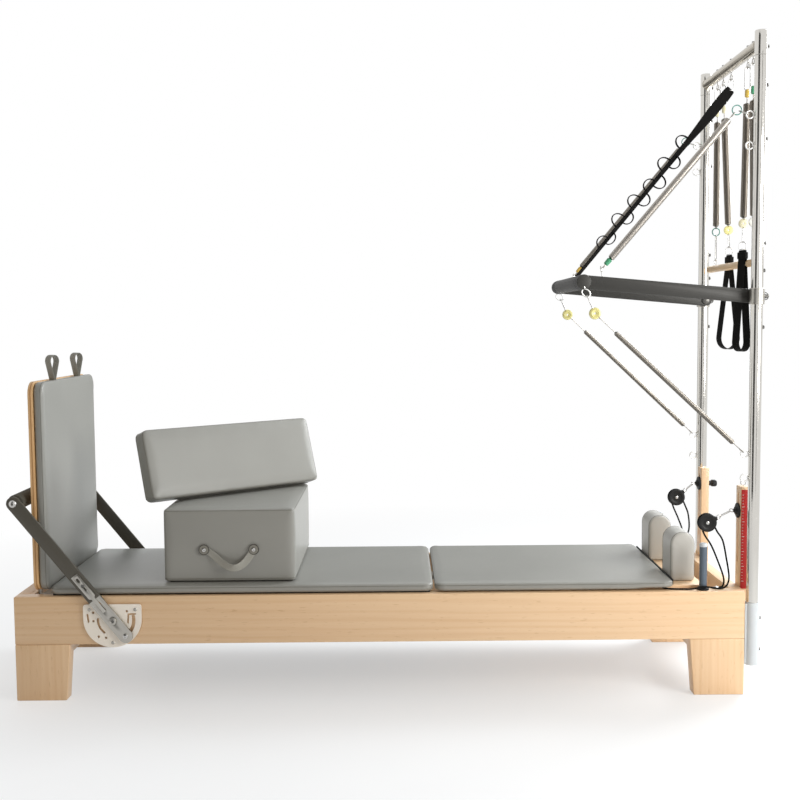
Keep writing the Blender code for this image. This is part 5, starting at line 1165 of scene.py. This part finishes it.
for end, x in WHEEL_ENDS:
    for label, sign in SIDES:
        at_axle = (x, sign * WHEEL_Y, AXLE_Z)
        parts = [bored(TYRE, at_axle, NORTH, tyre_rubber, 48), bored(HUB, at_axle, NORTH, white_plastic, 48)]
        for number in range(HUB_RIVETS):
            angle = math.tau * number / HUB_RIVETS
            spot = (x + RIVET_AT * math.cos(angle), sign * (WHEEL_Y + 0.0084),
                    AXLE_Z + RIVET_AT * math.sin(angle))
            parts.append(rod(RIVET, 0.0, 0.0006, spot, (0, sign, 0), bolt_steel, 10))
        hand_over(parts, f"wheel_{end}_{label}", f"wheel_{end}_{label}",
                  [f"carriage_wheel_{end}_{label}"])
SPRING_Z, SPRING_APART = 0.320, 0.055
parts = [board((along(1.405), -0.200, 0.306), (along(1.425), 0.200, 0.3357), 0.001, brushed)]
for number, colour in enumerate((red_plastic, green_plastic, red_plastic, yellow_plastic, red_plastic)):
    y = (number - 2) * SPRING_APART
    parts += [rod(0.0030, 0.0, 0.0165, (along(1.424), y, SPRING_Z), EAST, bolt_steel, 16),
              solid([(0.0080, 0.0), (0.0100, 0.0015), (0.0100, 0.0150), (0.0090, 0.0170)],
                    (along(1.434), y, SPRING_Z), EAST, colour, 24),
              coil(Vector((along(1.450), y, SPRING_Z)), Vector((along(1.826), y, SPRING_Z)), 0.0085, 0.0014,
                   spring_wire, 0.0032, 12, 5),
              solid([(0.0085, 0.0), (0.0085, 0.0060), (0.0030, 0.0120), (0.0030, 0.0180)],
                    (along(1.825), y, SPRING_Z), EAST, bolt_steel, 20),
              ring((along(1.8485), y, SPRING_Z), EAST, UP, 0.0065, 0.0016, spring_wire, 20)]
hand_over(parts, "carriage_coils", "carriage", ["carriage_springs"])
dress(nodes["foot_bracket"], brushed)
print("moving frame pieces ready")

# %% [markdown]
# The mats, the box, the platform and the board are foam under stretched vinyl.
# Each starts as a cube with rounded corners, a little smaller than the finished pad. It is remeshed with
# small even faces and blown up by a short cloth simulation, while its seams are held where they are.


# %% Stuffing a pad
def rounded_loop(half_x, half_y, corner, height, steps=8):
    """A rounded rectangle of points at one height."""
    x, y = half_x - corner, half_y - corner
    points = []
    for start, centre in zip((0, 90, 180, 270), ((x, y), (-x, y), (-x, -y), (x, -y))):
        corner_points = arc_points(centre, corner, start, start + 90, steps)
        points += [Vector((px, py, height)) for px, py in corner_points]
    return points


def refine(points, spacing):
    """More points along a closed loop, none farther apart than about the spacing."""
    fine = []
    for a, b in zip(points, points[1:] + points[:1]):
        count = max(1, round((b - a).length / spacing))
        fine += [a.lerp(b, step / count) for step in range(count)]
    return fine


def foam_block(half_x, half_y, low, high, corner, edge):
    """A cube with its upright corners rounded, then its top and bottom rims."""
    piece = cube((0, 0, (low + high) / 2), (2 * half_x, 2 * half_y, high - low))
    pick(piece, lambda e: abs(e.verts[0].co.z - e.verts[1].co.z) > 0.5 * (high - low))
    bpy.ops.mesh.bevel(offset=corner, segments=8, affect="EDGES")
    pick(piece, lambda e: min(vert.co.z for vert in e.verts) > high - 1e-5)
    bpy.ops.mesh.bevel(offset=edge, segments=4, affect="EDGES")
    pick(piece, lambda e: max(vert.co.z for vert in e.verts) < low + 1e-5)
    bpy.ops.mesh.bevel(offset=edge * 0.5, segments=2, affect="EDGES")
    bpy.ops.object.mode_set(mode="OBJECT")
    return piece


CLOTH_FRAMES = 20
CLOTH = {"quality": 3, "mass": 0.3, "tension_stiffness": 25, "compression_stiffness": 25,
         "shear_stiffness": 10, "bending_stiffness": 2, "use_pressure": True, "uniform_pressure_force": 4.0,
         "vertex_group_mass": "held"}


def blow_up(piece, seam_tree, floor_z, voxel, swell):
    """Run the cloth for a few frames, then keep its shape with every step limited to the swell."""
    pins = piece.vertex_groups.new(name="held")
    before = [vertex.co.copy() for vertex in piece.data.vertices]
    for vertex in piece.data.vertices:
        if vertex.co.z < floor_z or seam_tree.find(vertex.co)[2] < voxel * 0.75:
            pins.add([vertex.index], 1.0, "REPLACE")
    take(piece)
    modifier = piece.modifiers.new("stuffing", "CLOTH")
    for key, value in CLOTH.items():
        setattr(modifier.settings, key, value)
    modifier.settings.effector_weights.gravity = 0.0
    modifier.collision_settings.use_collision = False
    modifier.point_cache.frame_start = 1
    modifier.point_cache.frame_end = CLOTH_FRAMES
    for step in range(CLOTH_FRAMES):
        scene.frame_set(step + 1)
    shaped = piece.evaluated_get(bpy.context.evaluated_depsgraph_get())
    after = [vertex.co.copy() for vertex in shaped.data.vertices]
    piece.modifiers.remove(modifier)
    for vertex, start, end in zip(piece.data.vertices, before, after):
        move = end - start
        if move.length > 1e-7:
            vertex.co = start + move.normalized() * (swell * math.tanh(move.length / swell))
    piece.vertex_groups.clear()
    scene.frame_set(1)


def stuffed(piece, floor_z, voxel, swell, seams, place, levels=1, finish=vinyl):
    """Fill a block: its seams and base stay put, and the vinyl between them swells."""
    apply_modifier(piece, "REMESH", mode="VOXEL", voxel_size=voxel, use_smooth_shade=True)
    apply_modifier(piece, "SMOOTH", factor=0.5, iterations=2)
    held = [point for seam in seams for point in refine(seam, 0.006)]
    tree = KDTree(len(held))
    for index, point in enumerate(held):
        tree.insert(point, index)
    tree.balance()
    blow_up(piece, tree, floor_z, voxel, swell)
    if levels:
        apply_modifier(piece, "SUBSURF", levels=levels, render_levels=levels)
    surface = BVHTree.FromPolygons([vertex.co for vertex in piece.data.vertices],
                                   [polygon.vertices for polygon in piece.data.polygons])
    parts = [dress(piece, finish)]
    for seam in seams:
        line = []
        for point in refine(seam, 0.012):
            spot, normal = surface.find_nearest(point)[:2]
            line.append(spot + normal * 0.0002)
        parts.append(wire(line, 0.0008, seam_thread, closed=True, sides=1))
    pad = join(parts)
    pad.matrix_world = place
    return fix_place(pad)


# %% The mats
MAT_HALF, MAT_TOP, MAT_EDGE = 0.3015, 0.3795, 0.0055


def stuffed_mat(low, high, bottom, floor_z, corner):
    middle, half_x, half_y = (low + high) / 2, (high - low) / 2 - 0.0005, MAT_HALF - 0.0005
    block = foam_block(half_x, half_y, bottom, MAT_TOP - 0.0012, corner, MAT_EDGE)
    seam = rounded_loop(half_x, half_y, corner, MAT_TOP - 0.0085)
    return stuffed(block, floor_z, 0.0070, 0.0012, [seam], Matrix.Translation((middle, 0, 0)), 0)


low, high = along(0.113), along(1.377)
mat = stuffed_mat(low, high, RAIL_TOP + 0.0030, RAIL_TOP + 0.0070, 0.029)
# A black base board inset under the mat; its colour also darkens the gap below the mat's edge as painted
# shade.
base = board((low + 0.010, -MAT_HALF + 0.010, RAIL_TOP + GAP),
             (high - 0.010, MAT_HALF - 0.010, RAIL_TOP + 0.0060), 0.001, black_plastic, 1)
mat = hand_over([mat, base], "long_mat", "mat", ["mat_extension"], 60)
LIP_START, LIP_END = along(2.030), along(2.085)
LIP_LOW, LIP_RAISED = 0.3508, 0.3558
mat = stuffed_mat(along(1.382), along(2.171), LIP_LOW, 0.3560, 0.027)
for vertex in mat.data.vertices:
    share = min(1.0, max(0.0, (vertex.co.x - LIP_START) / (LIP_END - LIP_START)))
    height_left = (MAT_TOP - vertex.co.z) / (MAT_TOP - LIP_LOW)
    vertex.co.z += share * (LIP_RAISED - LIP_LOW) * max(0.0, height_left)
bumper = board((along(2.1713), -DECK_HALF, DECK_TOP + GAP), (along(2.1765), DECK_HALF, 0.3770), 0.0010,
               black_plastic, 1)
mat = hand_over([mat, bumper], "carriage_mat", "carriage", ["carriage_pad"], 60)
print("mats ready")

# %% Shoulder rests
REST_X, REST_HALF, REST_LOW, REST_TOP = (along(2.181) + along(2.260)) / 2, 0.0405, 0.3585, 0.5250
REST_FACES, REST_EASE = (0.0945, 0.2150), 0.0075
arch = [(REST_HALF, REST_LOW)] + arc_points((0, REST_TOP - REST_HALF), REST_HALF, 0, 180, 20)
arch = [(REST_X + x, z) for x, z in arch + [(-REST_HALF, REST_LOW)]]
for label, sign in SIDES:
    inner, outer = REST_FACES
    block = slab([(x, sign * inner, z) for x, z in arch], (0, sign * (outer - inner), 0), vinyl, REST_EASE, 3)
    seams = [[Vector((REST_X + (x - REST_X) * 0.985, sign * y, z - 0.0008)) for x, z in arch]
             for y in (inner + REST_EASE, outer - REST_EASE)]
    # The rests' lighter vinyl is painted light on the same covering as the other pads.
    rest = stuffed(block, 0.3620, 0.0050, 0.0015, seams, Matrix(), 1, vinyl_painted_lighter)
    hand_over(rest, f"shoulder_rest_{label}_pad", "carriage", [f"shoulder_rest_{label}"], 60)
print("shoulder rests ready")

# %% [markdown]
# The box is panels of vinyl sewn along its edges, with a strap handle riveted to each long side.
# The standing platform leans on it: a padded board with a batten behind.

# %% The box and its handles
BOX_X, BOX_Y, BOX_TOP, BOX_CORNER = (along(0.4904), along(0.9213)), (-0.2617, 0.2978), 0.6245, 0.012
BOX_LOW = MAT_TOP + GAP
half_x, half_y = (BOX_X[1] - BOX_X[0]) / 2 + 0.0020, (BOX_Y[1] - BOX_Y[0]) / 2 - 0.0010
box_middle = ((BOX_X[0] + BOX_X[1]) / 2 - 0.0040, (BOX_Y[0] + BOX_Y[1]) / 2, 0)
block = foam_block(half_x, half_y, BOX_LOW + 0.0020, BOX_TOP, BOX_CORNER, 0.0060)
box_seams = [rounded_loop(half_x - 0.0006, half_y - 0.0006, BOX_CORNER, BOX_TOP - 0.0045),
             rounded_loop(half_x, half_y, BOX_CORNER, BOX_LOW + 0.012)]
box_pad = stuffed(block, BOX_LOW + 0.0080, 0.0070, 0.0030, box_seams, Matrix.Translation(box_middle))
# The black board inset under the box darkens the narrow gap below its edge: painted shade.
foot = board((BOX_X[0] + 0.012, BOX_Y[0] + 0.012, BOX_LOW),
             (BOX_X[1] - 0.012, BOX_Y[1] - 0.012, BOX_LOW + 0.0080), 0.001, black_plastic, 1)
box_pad = hand_over([box_pad, foot], "sitting_box_pad", "box", ["sitting_box"], 60)

HANDLE_X, HANDLE_Z, HANDLE_SAG, HANDLE_BULGE = (along(0.6195), along(0.7840)), 0.4905, 0.056, 0.030
HANDLE_SKEW, HANDLE_STEPS, HANDLE_ENDS = 1.45, 28, 2
RIVET_HEAD = [(0.0, 0.0086), (0.0070, 0.0086), (0.0074, 0.0096), (0.0064, 0.0112), (0.0044, 0.0120),
              (0.0030, 0.0118), (0.0, 0.0112)]
for label, face, outward in (("near", BOX_Y[0], -1), ("far", BOX_Y[1], 1)):
    path, sides = [], []
    for index in range(-HANDLE_ENDS, HANDLE_STEPS + HANDLE_ENDS + 1):
        part = index / HANDLE_STEPS
        skew = min(1.0, max(0.0, part)) ** HANDLE_SKEW
        lift = 0.0048 + HANDLE_BULGE * math.sin(math.pi * skew) ** 1.5
        path.append(Vector((HANDLE_X[0] + (HANDLE_X[1] - HANDLE_X[0]) * part, face + outward * lift,
                            HANDLE_Z - HANDLE_SAG * 4 * skew * (1 - skew))))
    for before, after in zip(path[:1] + path, path[1:] + path[-1:]):
        slope = math.atan2(after.z - before.z, after.x - before.x)
        sides.append(Vector((-math.sin(slope), 0, math.cos(slope))))
    strap = ribbon(path, sides, 0.024, 0.0028, grey_webbing, 5, 0.0012)
    parts = []
    for x in HANDLE_X:
        place = Vector((x, face, HANDLE_Z))
        parts += [solid([(0.0166, 0.0060), (0.0168, 0.0076), (0.0160, 0.0084)], place, (0, outward, 0),
                        tab_paint, 32),
                  ring(place + NORTH * (outward * 0.0078), EAST, UP, 0.0164, 0.0014, tab_edge_paint, 32),
                  lathe(RIVET_HEAD, place, (0, outward, 0), bright_wire, 28)]
    tabs = hand_over(parts, f"handle_tabs_{label}", "box")
    hand_over(strap, f"handle_strap_{label}", "box", [f"box_handle_{label}"])
    length = runs(path)[-1]
    print(f"handle {label}: {length:.3f} m")

# %% The standing platform
PLATFORM_LENGTH, PLATFORM_HEIGHT, PLATFORM_THICK, PLATFORM_CORNER = 0.680, 0.243, 0.070, 0.018
HEADING, LEAN = math.radians(39.9), math.radians(18.0)
edge_way = Vector((math.cos(HEADING), math.sin(HEADING), 0))
back_way = Vector((-math.sin(HEADING), math.cos(HEADING), 0))
face_up = UP * math.cos(LEAN) + back_way * math.sin(LEAN)
through = back_way * math.cos(LEAN) - UP * math.sin(LEAN)
lowest = (through * PLATFORM_THICK).z
lay = Matrix.Translation((along(0.437), -0.1930, BOX_TOP + 0.0001 - lowest))
lay = lay @ Matrix((edge_way, through, face_up)).transposed().to_4x4()
face_lay = Matrix.Translation((0.0050, 0, 0)) @ lay
face_lay = face_lay @ Matrix.Translation((PLATFORM_LENGTH / 2, PLATFORM_THICK, PLATFORM_HEIGHT / 2))
face_lay = face_lay @ Matrix.Rotation(QUARTER, 4, "X")
half_x, half_y = PLATFORM_LENGTH / 2 + 0.0010, PLATFORM_HEIGHT / 2 + 0.0005
block = foam_block(half_x, half_y, 0.0, PLATFORM_THICK, PLATFORM_CORNER, 0.0080)
seams = [rounded_loop(half_x - in_by, half_y - in_by, PLATFORM_CORNER, height)
         for in_by, height in ((0.0006, PLATFORM_THICK - 0.0070), (0.0004, 0.0120))]
platform_pad = stuffed(block, 0.0060, 0.0065, 0.0025, seams, face_lay)
batten = board((0.04, PLATFORM_THICK - 0.004, 0.010), (PLATFORM_LENGTH - 0.04, PLATFORM_THICK + 0.030, 0.050),
               0.003, maple_along)
batten.matrix_world = lay
fix_place(batten)
platform_pad = hand_over([platform_pad, batten], "standing_platform_pad", "platform",
                         ["standing_platform"], 60)

# %% [markdown]
# The jump board is a plywood panel with rounded corners, hung on two steel blades.
# A thinner pad is fixed to its inner face, and two webbing loops at the top lift it out.

# %% The jump board
PANEL_X = (along(0.0620), along(0.0785))
JUMP_HALF, JUMP_LOW, JUMP_HIGH, JUMP_CORNER = 0.295, 0.360, 1.052, 0.040
mid_z, half_z = (JUMP_LOW + JUMP_HIGH) / 2, (JUMP_HIGH - JUMP_LOW) / 2
outline = [(PANEL_X[0], point.x, mid_z + point.y)
           for point in rounded_loop(JUMP_HALF, half_z, JUMP_CORNER, 0.0, 10)]
parts = [slab(outline, (PANEL_X[1] - PANEL_X[0] - GAP, 0, 0), plywood, 0.0015)]
for y in (-0.225, 0.225):
    parts.append(board((PANEL_X[0] - 0.0045, y - 0.015, 0.215),
                       (PANEL_X[0] + 0.0010, y + 0.015, JUMP_LOW + 0.180), 0.0010, brushed, 2))
    for z in (0.395, 0.455, 0.515):
        parts.append(solid([(0.0058, 0.0), (0.0052, 0.0014), (0.0030, 0.0020)],
                           (PANEL_X[0] - 0.0045, y, z), -EAST, bolt_steel, 20))
hand_over(parts, "jump_panel", "jump_board", ["jump_board_panel"])
face_lay = Matrix.Translation((PANEL_X[1], 0, mid_z)) @ Matrix.Rotation(QUARTER, 4, "Y")
block = foam_block(half_z - 0.0016, JUMP_HALF - 0.0016, 0.0004, 0.0325, 0.036, 0.0050)
seam = rounded_loop(half_z - 0.0022, JUMP_HALF - 0.0022, 0.036, 0.0240)
jump_pad = stuffed(block, 0.0045, 0.0070, 0.0009, [seam], face_lay, 0)
hand_over(jump_pad, "jump_pad", "jump_board", ["jump_board_pad"], 60)


def teardrop(foot, height, half, turn, upward, steps=36):
    """The middle line of a strap folded into a loop, and the side that its width follows."""
    across = Vector((math.cos(turn), math.sin(turn), 0))
    flat = Vector((-math.sin(turn), math.cos(turn), 0))
    straight = height - half
    opening = math.pi + 2 * math.asin(half / straight)
    points = [(0.0017, 0.0), (0.0019, 0.010)]
    first = math.pi / 2 - opening / 2
    touch = (half * math.cos(first), straight + half * math.sin(first))
    for part in (step / 9 for step in range(1, 9)):
        points.append((0.0019 + (touch[0] - 0.0019) * part, 0.010 + (touch[1] - 0.010) * part))
    for angle in (first + opening * step / steps for step in range(steps + 1)):
        points.append((half * math.cos(angle), straight + half * math.sin(angle)))
    points += [(-a, b) for a, b in reversed(points[:10])]
    return [Vector(foot) + across * a + Vector(upward) * b for a, b in points], flat


for label, sign in SIDES:
    path, flat = teardrop((PANEL_X[1] + 0.0155, sign * 0.135, JUMP_HIGH - 0.012), 0.095, 0.0200,
                          math.radians(66), UP, 24)
    loop = ribbon(path, flat, 0.026, 0.0022, grey_webbing)
    hand_over(loop, f"lifting_loop_{label}", "jump_board", ["jump_board_pad"])
    length = runs(path)[-1]
    print(f"lifting loop: {length:.3f} m")

# %% [markdown]
# The push bar is welded from two flat arms and a tube. Two springs pull it up, two slimmer runs hold it
# down, and a daisy-chain strap from the top tube catches it if a spring lets go.

# %% The push bar
BAR_ARM = (0.2645, 0.2725)
UPPER_EYE = Vector((POST_X - 0.4970, BAR_ARM[0] + 0.004, 1.4020))
LOWER_EYE = Vector((POST_X - 0.5480, BAR_ARM[1] + 0.0045, 1.3262))
BALL = Vector((POST_X - 0.5190, BAR_ARM[1] + 0.0045, 1.2595))
DISC = [(0.0125, -0.0090), (0.0180, -0.0062), (0.0196, 0.0), (0.0180, 0.0062), (0.0125, 0.0090)]
reach = BAR_ARM[1] + 0.0055
bar_place = (BAR_END[0], 0, BAR_END[1])
parts = [solid([(0.0215, -reach), (0.0238, -reach + 0.0012), (0.0245, -reach + 0.003),
                (0.0245, reach - 0.003), (0.0238, reach - 0.0012), (0.0215, reach)],
               bar_place, NORTH, bar_paint, 48)]


def mirrored(point, sign):
    return Vector((point.x, sign * point.y, point.z))


for label, sign in SIDES:
    arm = sheet_plate(bar_outline((POST_X, BAR_PIVOT_Z), BAR_END, ARM_HALF, 16), BAR_ARM, sign, bar_paint)
    cut(arm, [hole_tool(0.0109, POST_X, BAR_PIVOT_Z, sign, 0.2685, bar_paint)])
    parts.append(ease_edges(arm, 0.0012))
    for y in (sign * (reach - 0.030), sign * (reach - 0.060)):
        parts.append(bored([(0.0240, -0.008), (0.0250, -0.007), (0.0250, 0.007), (0.0240, 0.008)],
                           (BAR_END[0], y, BAR_END[1]), NORTH, black_plastic, 48))
    eye, low_eye, ball = (mirrored(at, sign) for at in (UPPER_EYE, LOWER_EYE, BALL))
    drop = (ball - low_eye).normalized()
    parts += [eye_bolt(eye + Vector((0.004, 0, -0.029)), eye, NORTH, white_steel),
              eye_bolt(low_eye + Vector((-0.006, 0, 0.021)), low_eye, EAST, white_steel, 0.0130, 0.0024),
              long_link(low_eye + drop * 0.0135, ball - drop * 0.0145, NORTH, 0.0052, 0.0014, bright_wire),
              bored([(0.0040, -0.0062)] + DISC + [(0.0040, 0.0062)], ball, NORTH, yellow_plastic, 40)]
hand_over(parts, "push_bar_tube", "push_bar", ["push_bar"])


# %% Springs that pull the bar
def hooked_spring(first, last, lead, tail, radius, thick, hook, across, pitch, finish):
    """Hook, close-wound body and hook, on the line between two hook centres."""
    ahead_way = (last - first).normalized()
    start, end = first + ahead_way * lead, last - ahead_way * tail
    parts = [coil(start, end, radius, thick, finish, pitch)]
    for centre, way, body in ((first, ahead_way, start), (last, -ahead_way, end)):
        path = round_path(centre, way, across, hook, 20, 30, 300)
        path += [centre + way * (hook + 0.004), centre.lerp(body, 0.75), body + way * 0.001]
        parts += [wire(path, thick, finish, sides=2),
                  solid([(thick * 1.5, 0.0), (radius * 0.92, 0.004), (radius * 0.92, 0.008)],
                        body - way * 0.005, way, bolt_steel, 16)]
    return join(parts)


def linked(first_radius, first_wire, second_radius, second_wire, slack=0.0009):
    """Distance between the centres of two rings that hang one in the other."""
    return first_radius + second_radius - (first_wire + second_wire) / 2 - slack


TAG_RING, TAG_WIRE, HOOK_RING, PUSH_WIRE = 0.0150, 0.0019, 0.008, 0.0017
UPPER_STEEL = {"near": (pale_wire, green_plastic), "far": (spring_wire, amber_plastic)}
for label, sign in SIDES:
    steel, cuff_colour = UPPER_STEEL[label]
    eye = Vector((EYE_X, sign * POST_Y, UPPER_POST_EYE))
    tag = Vector((POST_X - 0.0735, sign * POST_Y, 1.9019))
    end = mirrored(UPPER_EYE, sign)
    side_way = (tag - eye).normalized()
    way = (end - tag).normalized()
    top = tag + way * linked(TAG_RING, 2 * TAG_WIRE, HOOK_RING, 2 * PUSH_WIRE)
    low = end - way * linked(EYE_RING, 2 * EYE_WIRE, HOOK_RING, 2 * PUSH_WIRE)
    parts = [long_link(eye + side_way * 0.0085, tag - side_way * 0.0118, NORTH, 0.0048, 0.0014, bright_wire),
             ring(tag, EAST, UP, TAG_RING, TAG_WIRE, teal_plastic, 32),
             hooked_spring(top, low, 0.022, 0.034, 0.0100, PUSH_WIRE, HOOK_RING, NORTH, 0.0036, steel),
             solid([(0.0050, 0.0), (0.0088, 0.002), (0.0080, 0.022), (0.0046, 0.024)], low - way * 0.030, way,
                   cuff_colour, 20)]
    spring = hand_over(parts, f"push_spring_{label}_coils", None, [f"push_spring_{label}"])
    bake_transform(spring)
    print("upper spring", label, "reaches", round((end - eye).length, 3), "m")
    eye = Vector((EYE_X, sign * POST_Y, LOWER_POST_EYE))
    end = mirrored(BALL, sign)
    way = (end - eye).normalized()
    spring = hooked_spring(eye + way * linked(EYE_RING, 2 * EYE_WIRE, HOOK_RING, 0.0036), end - way * 0.0190,
                           0.040, 0.075, 0.0072, 0.0014, HOOK_RING, NORTH, 0.0030, spring_wire)
    hand_over(spring, f"lower_spring_{label}_coils", None, [f"lower_spring_{label}"])
    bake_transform(spring)
    print("lower spring", label, "reaches", round((end - eye).length, 3), "m")

# %% The safety strap
clip_top = Vector((POST_X, 0.0, SWING_Z))
clip_low = clip_top - UP * 0.020
start = clip_low - UP * 0.004
finish_at = Vector((BAR_END[0], 0.0, BAR_END[1]))
way = (finish_at - start).normalized()
finish_at = finish_at - way * 0.0265
square = way.cross(NORTH)
STRAP_STEPS, LOOP_STEPS, LOOP_HALF = 90, 16, 0.023
SLEEVE = ((0.0, 0.034), (0.04, 0.040), (0.12, 0.041), (0.20, 0.034), (0.28, 0.025), (0.45, 0.021),
          (1.0, 0.016))
LEFT_LOOPS = ((0.29, 0.038), (0.405, 0.038), (0.510, 0.027), (0.600, 0.036), (0.700, 0.038), (0.810, 0.027))
RIGHT_LOOPS = ((0.375, 0.030), (0.475, 0.036), (0.570, 0.032), (0.670, 0.026), (0.780, 0.022))


def sleeve_width(part):
    """The strap's width at a share of its length, read between the two nearest of the sleeve's widths."""
    for (first, wide), (last, narrow) in zip(SLEEVE, SLEEVE[1:]):
        if first <= part <= last:
            found = wide + (narrow - wide) * ((part - first) / (last - first))
    return found


shares = [step / STRAP_STEPS for step in range(STRAP_STEPS + 1)]
turns = [math.radians(min(40, 10 + 80 * part)) for part in shares]
parts = [ribbon([start.lerp(finish_at, part) for part in shares],
                [square * math.cos(turn) + NORTH * math.sin(turn) for turn in turns],
                [sleeve_width(part) for part in shares], 0.0040, black_webbing, 4, 0.0010)]
for side, loops in ((1, LEFT_LOOPS), (-1, RIGHT_LOOPS)):
    for part, height in loops:
        bulge = []
        for angle in (math.pi * step / LOOP_STEPS for step in range(LOOP_STEPS + 1)):
            at = start.lerp(finish_at, part) - way * (LOOP_HALF * math.cos(angle))
            bulge.append(at - square * side * (height * math.sin(angle) ** 0.8))
        parts.append(ribbon(bulge, NORTH, 0.016, 0.0036, black_webbing, 2))
parts.append(long_link(clip_top, clip_low, EAST, CLIP_RING, 0.0014, bright_wire))
strap = hand_over(parts, "chain_strap", None, ["safety_strap"])
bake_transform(strap)
print(f"chain strap: {(finish_at - start).length:.3f} m")

# %% [markdown]
# Four more springs hang from the top tube. Two carry the wooden roll-down bar, and two carry the padded
# leg straps. Each hangs in a clip above, and ends in a coloured ring and a link.

# %% Hanging springs
DOWEL_Z, DOWEL_RADIUS, RING_Z, BODY_TOP, BODY_LOW = 1.422, 0.0125, 1.5545, 1.944, 1.577
COLOUR_RING, CLIP_LENGTH, CLIP_WIRE = 0.0135, 0.058, 0.002
HUNG_DISC = [(0.0130, -0.0042), (0.0158, -0.0030), (0.0162, 0.0), (0.0158, 0.0030), (0.0130, 0.0042)]
CUFF = [(0.0040, 0.022), (0.0072, 0.024), (0.0078, 0.030), (0.0078, 0.044), (0.0050, 0.048)]


def hitched(ring_radius):
    """Distance between a link's centre and the centre of the ring it hangs in, with a little play."""
    return linked(ring_radius, 2 * LINK_WIRE, LINK_RING, 2 * LINK_WIRE, -0.001)


def hanging(y, shift, end_z, ring_colour, sleeve_colour):
    """One hanging spring with its clip, sleeve, ring and link, tilted by the shift at the dowel's height."""
    tilt = math.atan2(shift, SWING_Z - DOWEL_Z)
    frame_at = Matrix.Translation((POST_X, y, SWING_Z)) @ Matrix.Rotation(-tilt, 4, "Y")
    ways = [frame_at.to_3x3() @ axis for axis in (EAST, NORTH, UP)]
    x_way, y_way, z_way = ways

    def down_to(z):
        return frame_at @ Vector((0, 0, z - SWING_Z))

    hook_drop = CLIP_LENGTH + linked(CLIP_RING, 2 * CLIP_WIRE, LINK_RING, 2 * LINK_WIRE, -0.001)
    first = frame_at @ Vector((0, 0, -hook_drop))
    last = down_to(RING_Z + hitched(COLOUR_RING))
    body_top, ring_at = down_to(BODY_TOP), down_to(RING_Z)
    parts = [long_link(frame_at.to_translation(), frame_at @ Vector((0, 0, -CLIP_LENGTH)), x_way, CLIP_RING,
                       CLIP_WIRE, bright_wire, 14),
             hooked_spring(first, last, (body_top - first).length, (down_to(BODY_LOW) - last).length, 0.0104,
                           0.0016, LINK_RING, y_way, 0.0034, hung_wire),
             solid(CUFF, body_top, z_way, sleeve_colour, 20)]
    if ring_colour is teal_plastic:
        parts.append(ring(ring_at, x_way, z_way, COLOUR_RING, 0.0021, ring_colour, 32))
    else:
        parts.append(bored([(0.0036, -0.0030)] + HUNG_DISC + [(0.0036, 0.0030)], ring_at, y_way,
                           ring_colour, 40))
    link_top = ring_at - z_way * hitched(COLOUR_RING)
    parts.append(long_link(link_top, down_to(end_z), y_way, LINK_RING, LINK_WIRE, bright_wire))
    return parts, down_to, ways


SCREW_EYE_Z = DOWEL_Z + DOWEL_RADIUS + 0.0125
DOWEL_HANG = ((-0.227, 0.0115), (0.153, 0.0010))
DOWEL_LOOKS = ((white_plastic, green_plastic), (teal_plastic, cream_plastic))
DOWEL_ENDS = (-0.250, 0.226)
(near_y, near_x), (far_y, far_x) = DOWEL_HANG
start, finish_at = (Vector((POST_X + near_x + (far_x - near_x) * (y - near_y) / (far_y - near_y), y, DOWEL_Z))
                    for y in DOWEL_ENDS)
length = (finish_at - start).length
profile = [(0.0095, 0.0), (0.0117, 0.0010), (DOWEL_RADIUS, 0.0028), (DOWEL_RADIUS, length - 0.0028),
           (0.0117, length - 0.0010), (0.0095, length)]
parts = [solid(profile, start, finish_at - start, dowel_wood, 40)]
for (label, sign), (y, shift), colours in zip(SIDES, DOWEL_HANG, DOWEL_LOOKS):
    end_z = SCREW_EYE_Z + linked(LINK_RING, 2 * LINK_WIRE, LINK_RING, 2 * LINK_WIRE)
    spring, down_to, (x_way, _, z_way) = hanging(y, shift, end_z, *colours)
    hand_over(spring, f"roll_down_{label}_coils", "roll_down", [f"roll_down_spring_{label}"])
    eye = down_to(SCREW_EYE_Z)
    path = [eye - z_way * 0.0155] + round_path(eye, -z_way, x_way, LINK_RING, 20, 22, 316)
    parts.append(wire(path, LINK_WIRE, bright_wire))
hand_over(parts, "roll_down_dowel", "roll_down", ["roll_down_bar"])

# %% Leg straps
STRAP_TOP, STRAP_LOW, D_RING = 1.467, 1.128, 0.012
LEGS = (("near", -0.175, -0.0090, 35, 0.030, (cream_plastic, amber_plastic)),
        ("far", 0.088, 0.0320, 20, 0.040, (yellow_plastic, cream_plastic)))
for label, y, shift, degrees, half, colours in LEGS:
    turn = math.radians(degrees)
    arc_z = STRAP_TOP + 0.0150
    end_z = arc_z + hitched(D_RING)
    spring, down_to, (x_way, _, z_way) = hanging(y, shift, end_z, *colours)
    centre = down_to(arc_z)
    path = round_path(centre, x_way, z_way, D_RING, 16, 0, 180)
    path += [centre + x_way * out - z_way * down for out, down in ((-D_RING, 0.0085), (-0.0095, 0.0125),
                                                                   (0.0095, 0.0125), (D_RING, 0.0085))]
    spring.append(wire(path, LINK_WIRE, bright_wire, closed=True))
    hand_over(spring, f"leg_{label}_coils", f"leg_{label}", [f"leg_spring_{label}"])
    foot = centre - z_way * 0.0145
    path, flat = teardrop(foot, STRAP_TOP - STRAP_LOW - 0.0013, half, turn, -UP)
    loop = ribbon(path, flat, 0.030, 0.0026, black_webbing, 5, 0.0004)
    length = runs(path)[-1]
    hand_over(loop, f"leg_loop_{label}", f"leg_{label}", [f"leg_strap_{label}"])
    keeper = board((-0.0075, -0.0165, -0.0300), (0.0075, 0.0165, -0.0080), 0.0015, black_webbing, 2)
    keeper.matrix_world = Matrix.Translation(foot) @ Matrix.Rotation(turn, 4, "Z")
    hand_over(fix_place(keeper), f"strap_keeper_{label}", f"leg_{label}")
    print(f"leg strap {label}: {length:.3f} m")
